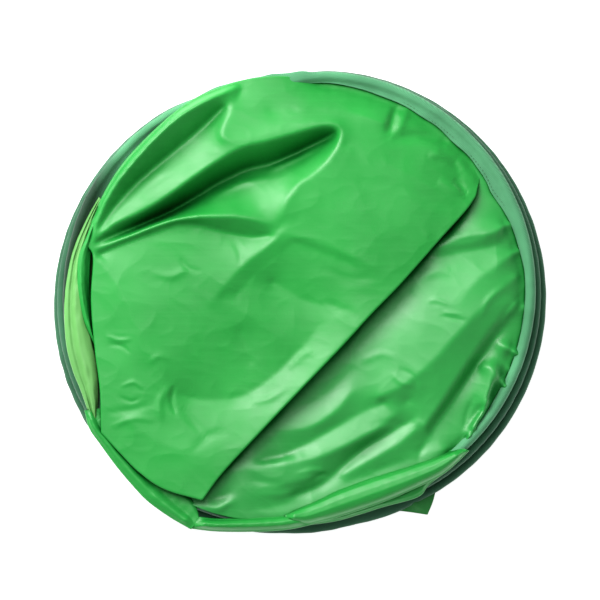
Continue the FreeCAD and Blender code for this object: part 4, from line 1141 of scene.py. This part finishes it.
def make_wraps():
    """Fabric gathered round the rods from tape to tape where they cross. It stays with the turn
    below its crossing: only the ends of the rods above turn in it."""
    part = np.linspace(0, 1, 25)
    angles = np.linspace(-TAU / 4, TAU * 0.8, 18)
    for turn, outward in ((LOWER, 1), (MIDDLE, -1)):
        base, level = turn_height(turn), turn_height(turn + 1)
        axis = outward * half_span((turn + 1) * INSET) + SHIFT
        rim = outward * half_span(turn * INSET)
        for side, word in ((1, "right"), (-1, "left")):
            beside = axis + outward * side * STRAND_SIDE
            dropped = level - STRAND_DROP
            climbing = np.stack([side * STRAND_MOUTH * (1 - part), eased(part, axis, beside),
                                 eased(part, level, dropped, 0, -STRAND_SLOPE * STRAND_MOUTH)], axis=1)
            falling = np.stack([-side * FLAT_HALF * part, eased(part, beside, rim),
                                eased(part, dropped, base, -STRAND_SLOPE * FLAT_HALF)], axis=1)
            line = np.vstack([[(side * WRAP_START, axis, level)], climbing, falling[1:],
                              [(-side * WRAP_END, rim, base)]])
            radii = WRAP_WIDE - (WRAP_WIDE - WRAP_NARROW) * np.exp(-(line[:, 0] / 20) ** 2)
            line[:, :2] = in_tent_axes(line[:, :2], turn)
            way = np.gradient(line, axis=0)
            way /= np.linalg.norm(way, axis=1)[:, None]
            aside = np.cross(way, (0, 0, 1))
            aside /= np.linalg.norm(aside, axis=1)[:, None]
            gathers = 1 + 0.05 * np.cos(5 * angles + line[:, 2:] * 0.7)
            rings = radii[:, None] * gathers + 0.03 * angles
            skin = (line[:, None] + (rings * np.cos(angles))[..., None] * aside[:, None]
                    + (rings * np.sin(angles))[..., None] * np.cross(aside, way)[:, None])
            name = ("lower", "middle")[turn]
            wrap = add_mesh(f"{name}_wrap_{word}", skin.reshape(-1, 3), grid_faces(len(line), len(angles)))
            finish_piece(wrap, "dark_binding", BODIES[turn])


def make_stitches():
    """Row of lock stitches along the upper tape's sewn edge, each a small spindle of thread."""
    spindle = [(-1.3, 0, 0.0), (-0.5, 0.28, 0.12), (-0.5, -0.28, 0.12), (-0.5, 0, 0.4), (0.5, 0.28, 0.12),
               (0.5, -0.28, 0.12), (0.5, 0, 0.4), (1.3, 0, 0.0)]
    skin = [(0, 2, 1), (0, 1, 3), (0, 3, 2), (1, 2, 5, 4), (1, 4, 6, 3), (3, 6, 5, 2), (7, 4, 5), (7, 6, 4),
            (7, 5, 6)]
    line = rim_between(UPPER, -2.6, 21, 74, sewn=True)
    line = spread(line, int(len(line) * RIM_STEP / STITCH_PITCH))
    way = np.gradient(line, axis=0)
    way /= np.linalg.norm(way, axis=1)[:, None]
    level = turn_height(UPPER) + 0.55
    solid, faces = [], []
    for place, (x, y) in zip(line, way):
        faces += [[len(solid) + corner for corner in face] for face in skin]
        solid += [(place[0] + x * along - y * aside, place[1] + y * along + x * aside, level + up)
                  for along, aside, up in spindle]
    finish_piece(add_mesh("upper_stitches", solid, faces), "webbing", "upper_turn")


def dress_cad_nodes():
    """Finishes for the pieces that keep the frame's own shapes."""
    finishes = {"spring_steel": ("lower_rod", "middle_rod_left", "middle_rod_right", "upper_rod"),
                "ferrule_steel": ("lower_ferrule_left", "lower_ferrule_right", "middle_ferrule_left",
                                  "middle_ferrule_right"),
                "webbing": ("peg_loop_1", "peg_loop_2", "peg_loop_3", "peg_loop_4"),
                "zip_tape": ("zip_tape_outer", "zip_tape_inner"),
                "zip_plastic": ("zip_teeth", "zip_stop_left", "zip_stop_right"),
                "zip_metal": ("zip_slider", "zip_pull")}
    for name, nodes in finishes.items():
        for node in nodes:
            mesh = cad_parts[node].data
            mesh.materials.clear()
            mesh.materials.append(finish[name])


# ---- making it all ----

finish = make_materials()
make_stage()
dress_cad_nodes()
front, rear = front_relief(), rear_relief()
make_front_cloth(front, rear)
make_rear_cloth(rear)
make_lining(front, rear)
make_tapes()
make_edges()
make_back()
make_floor()
make_wraps()
make_stitches()
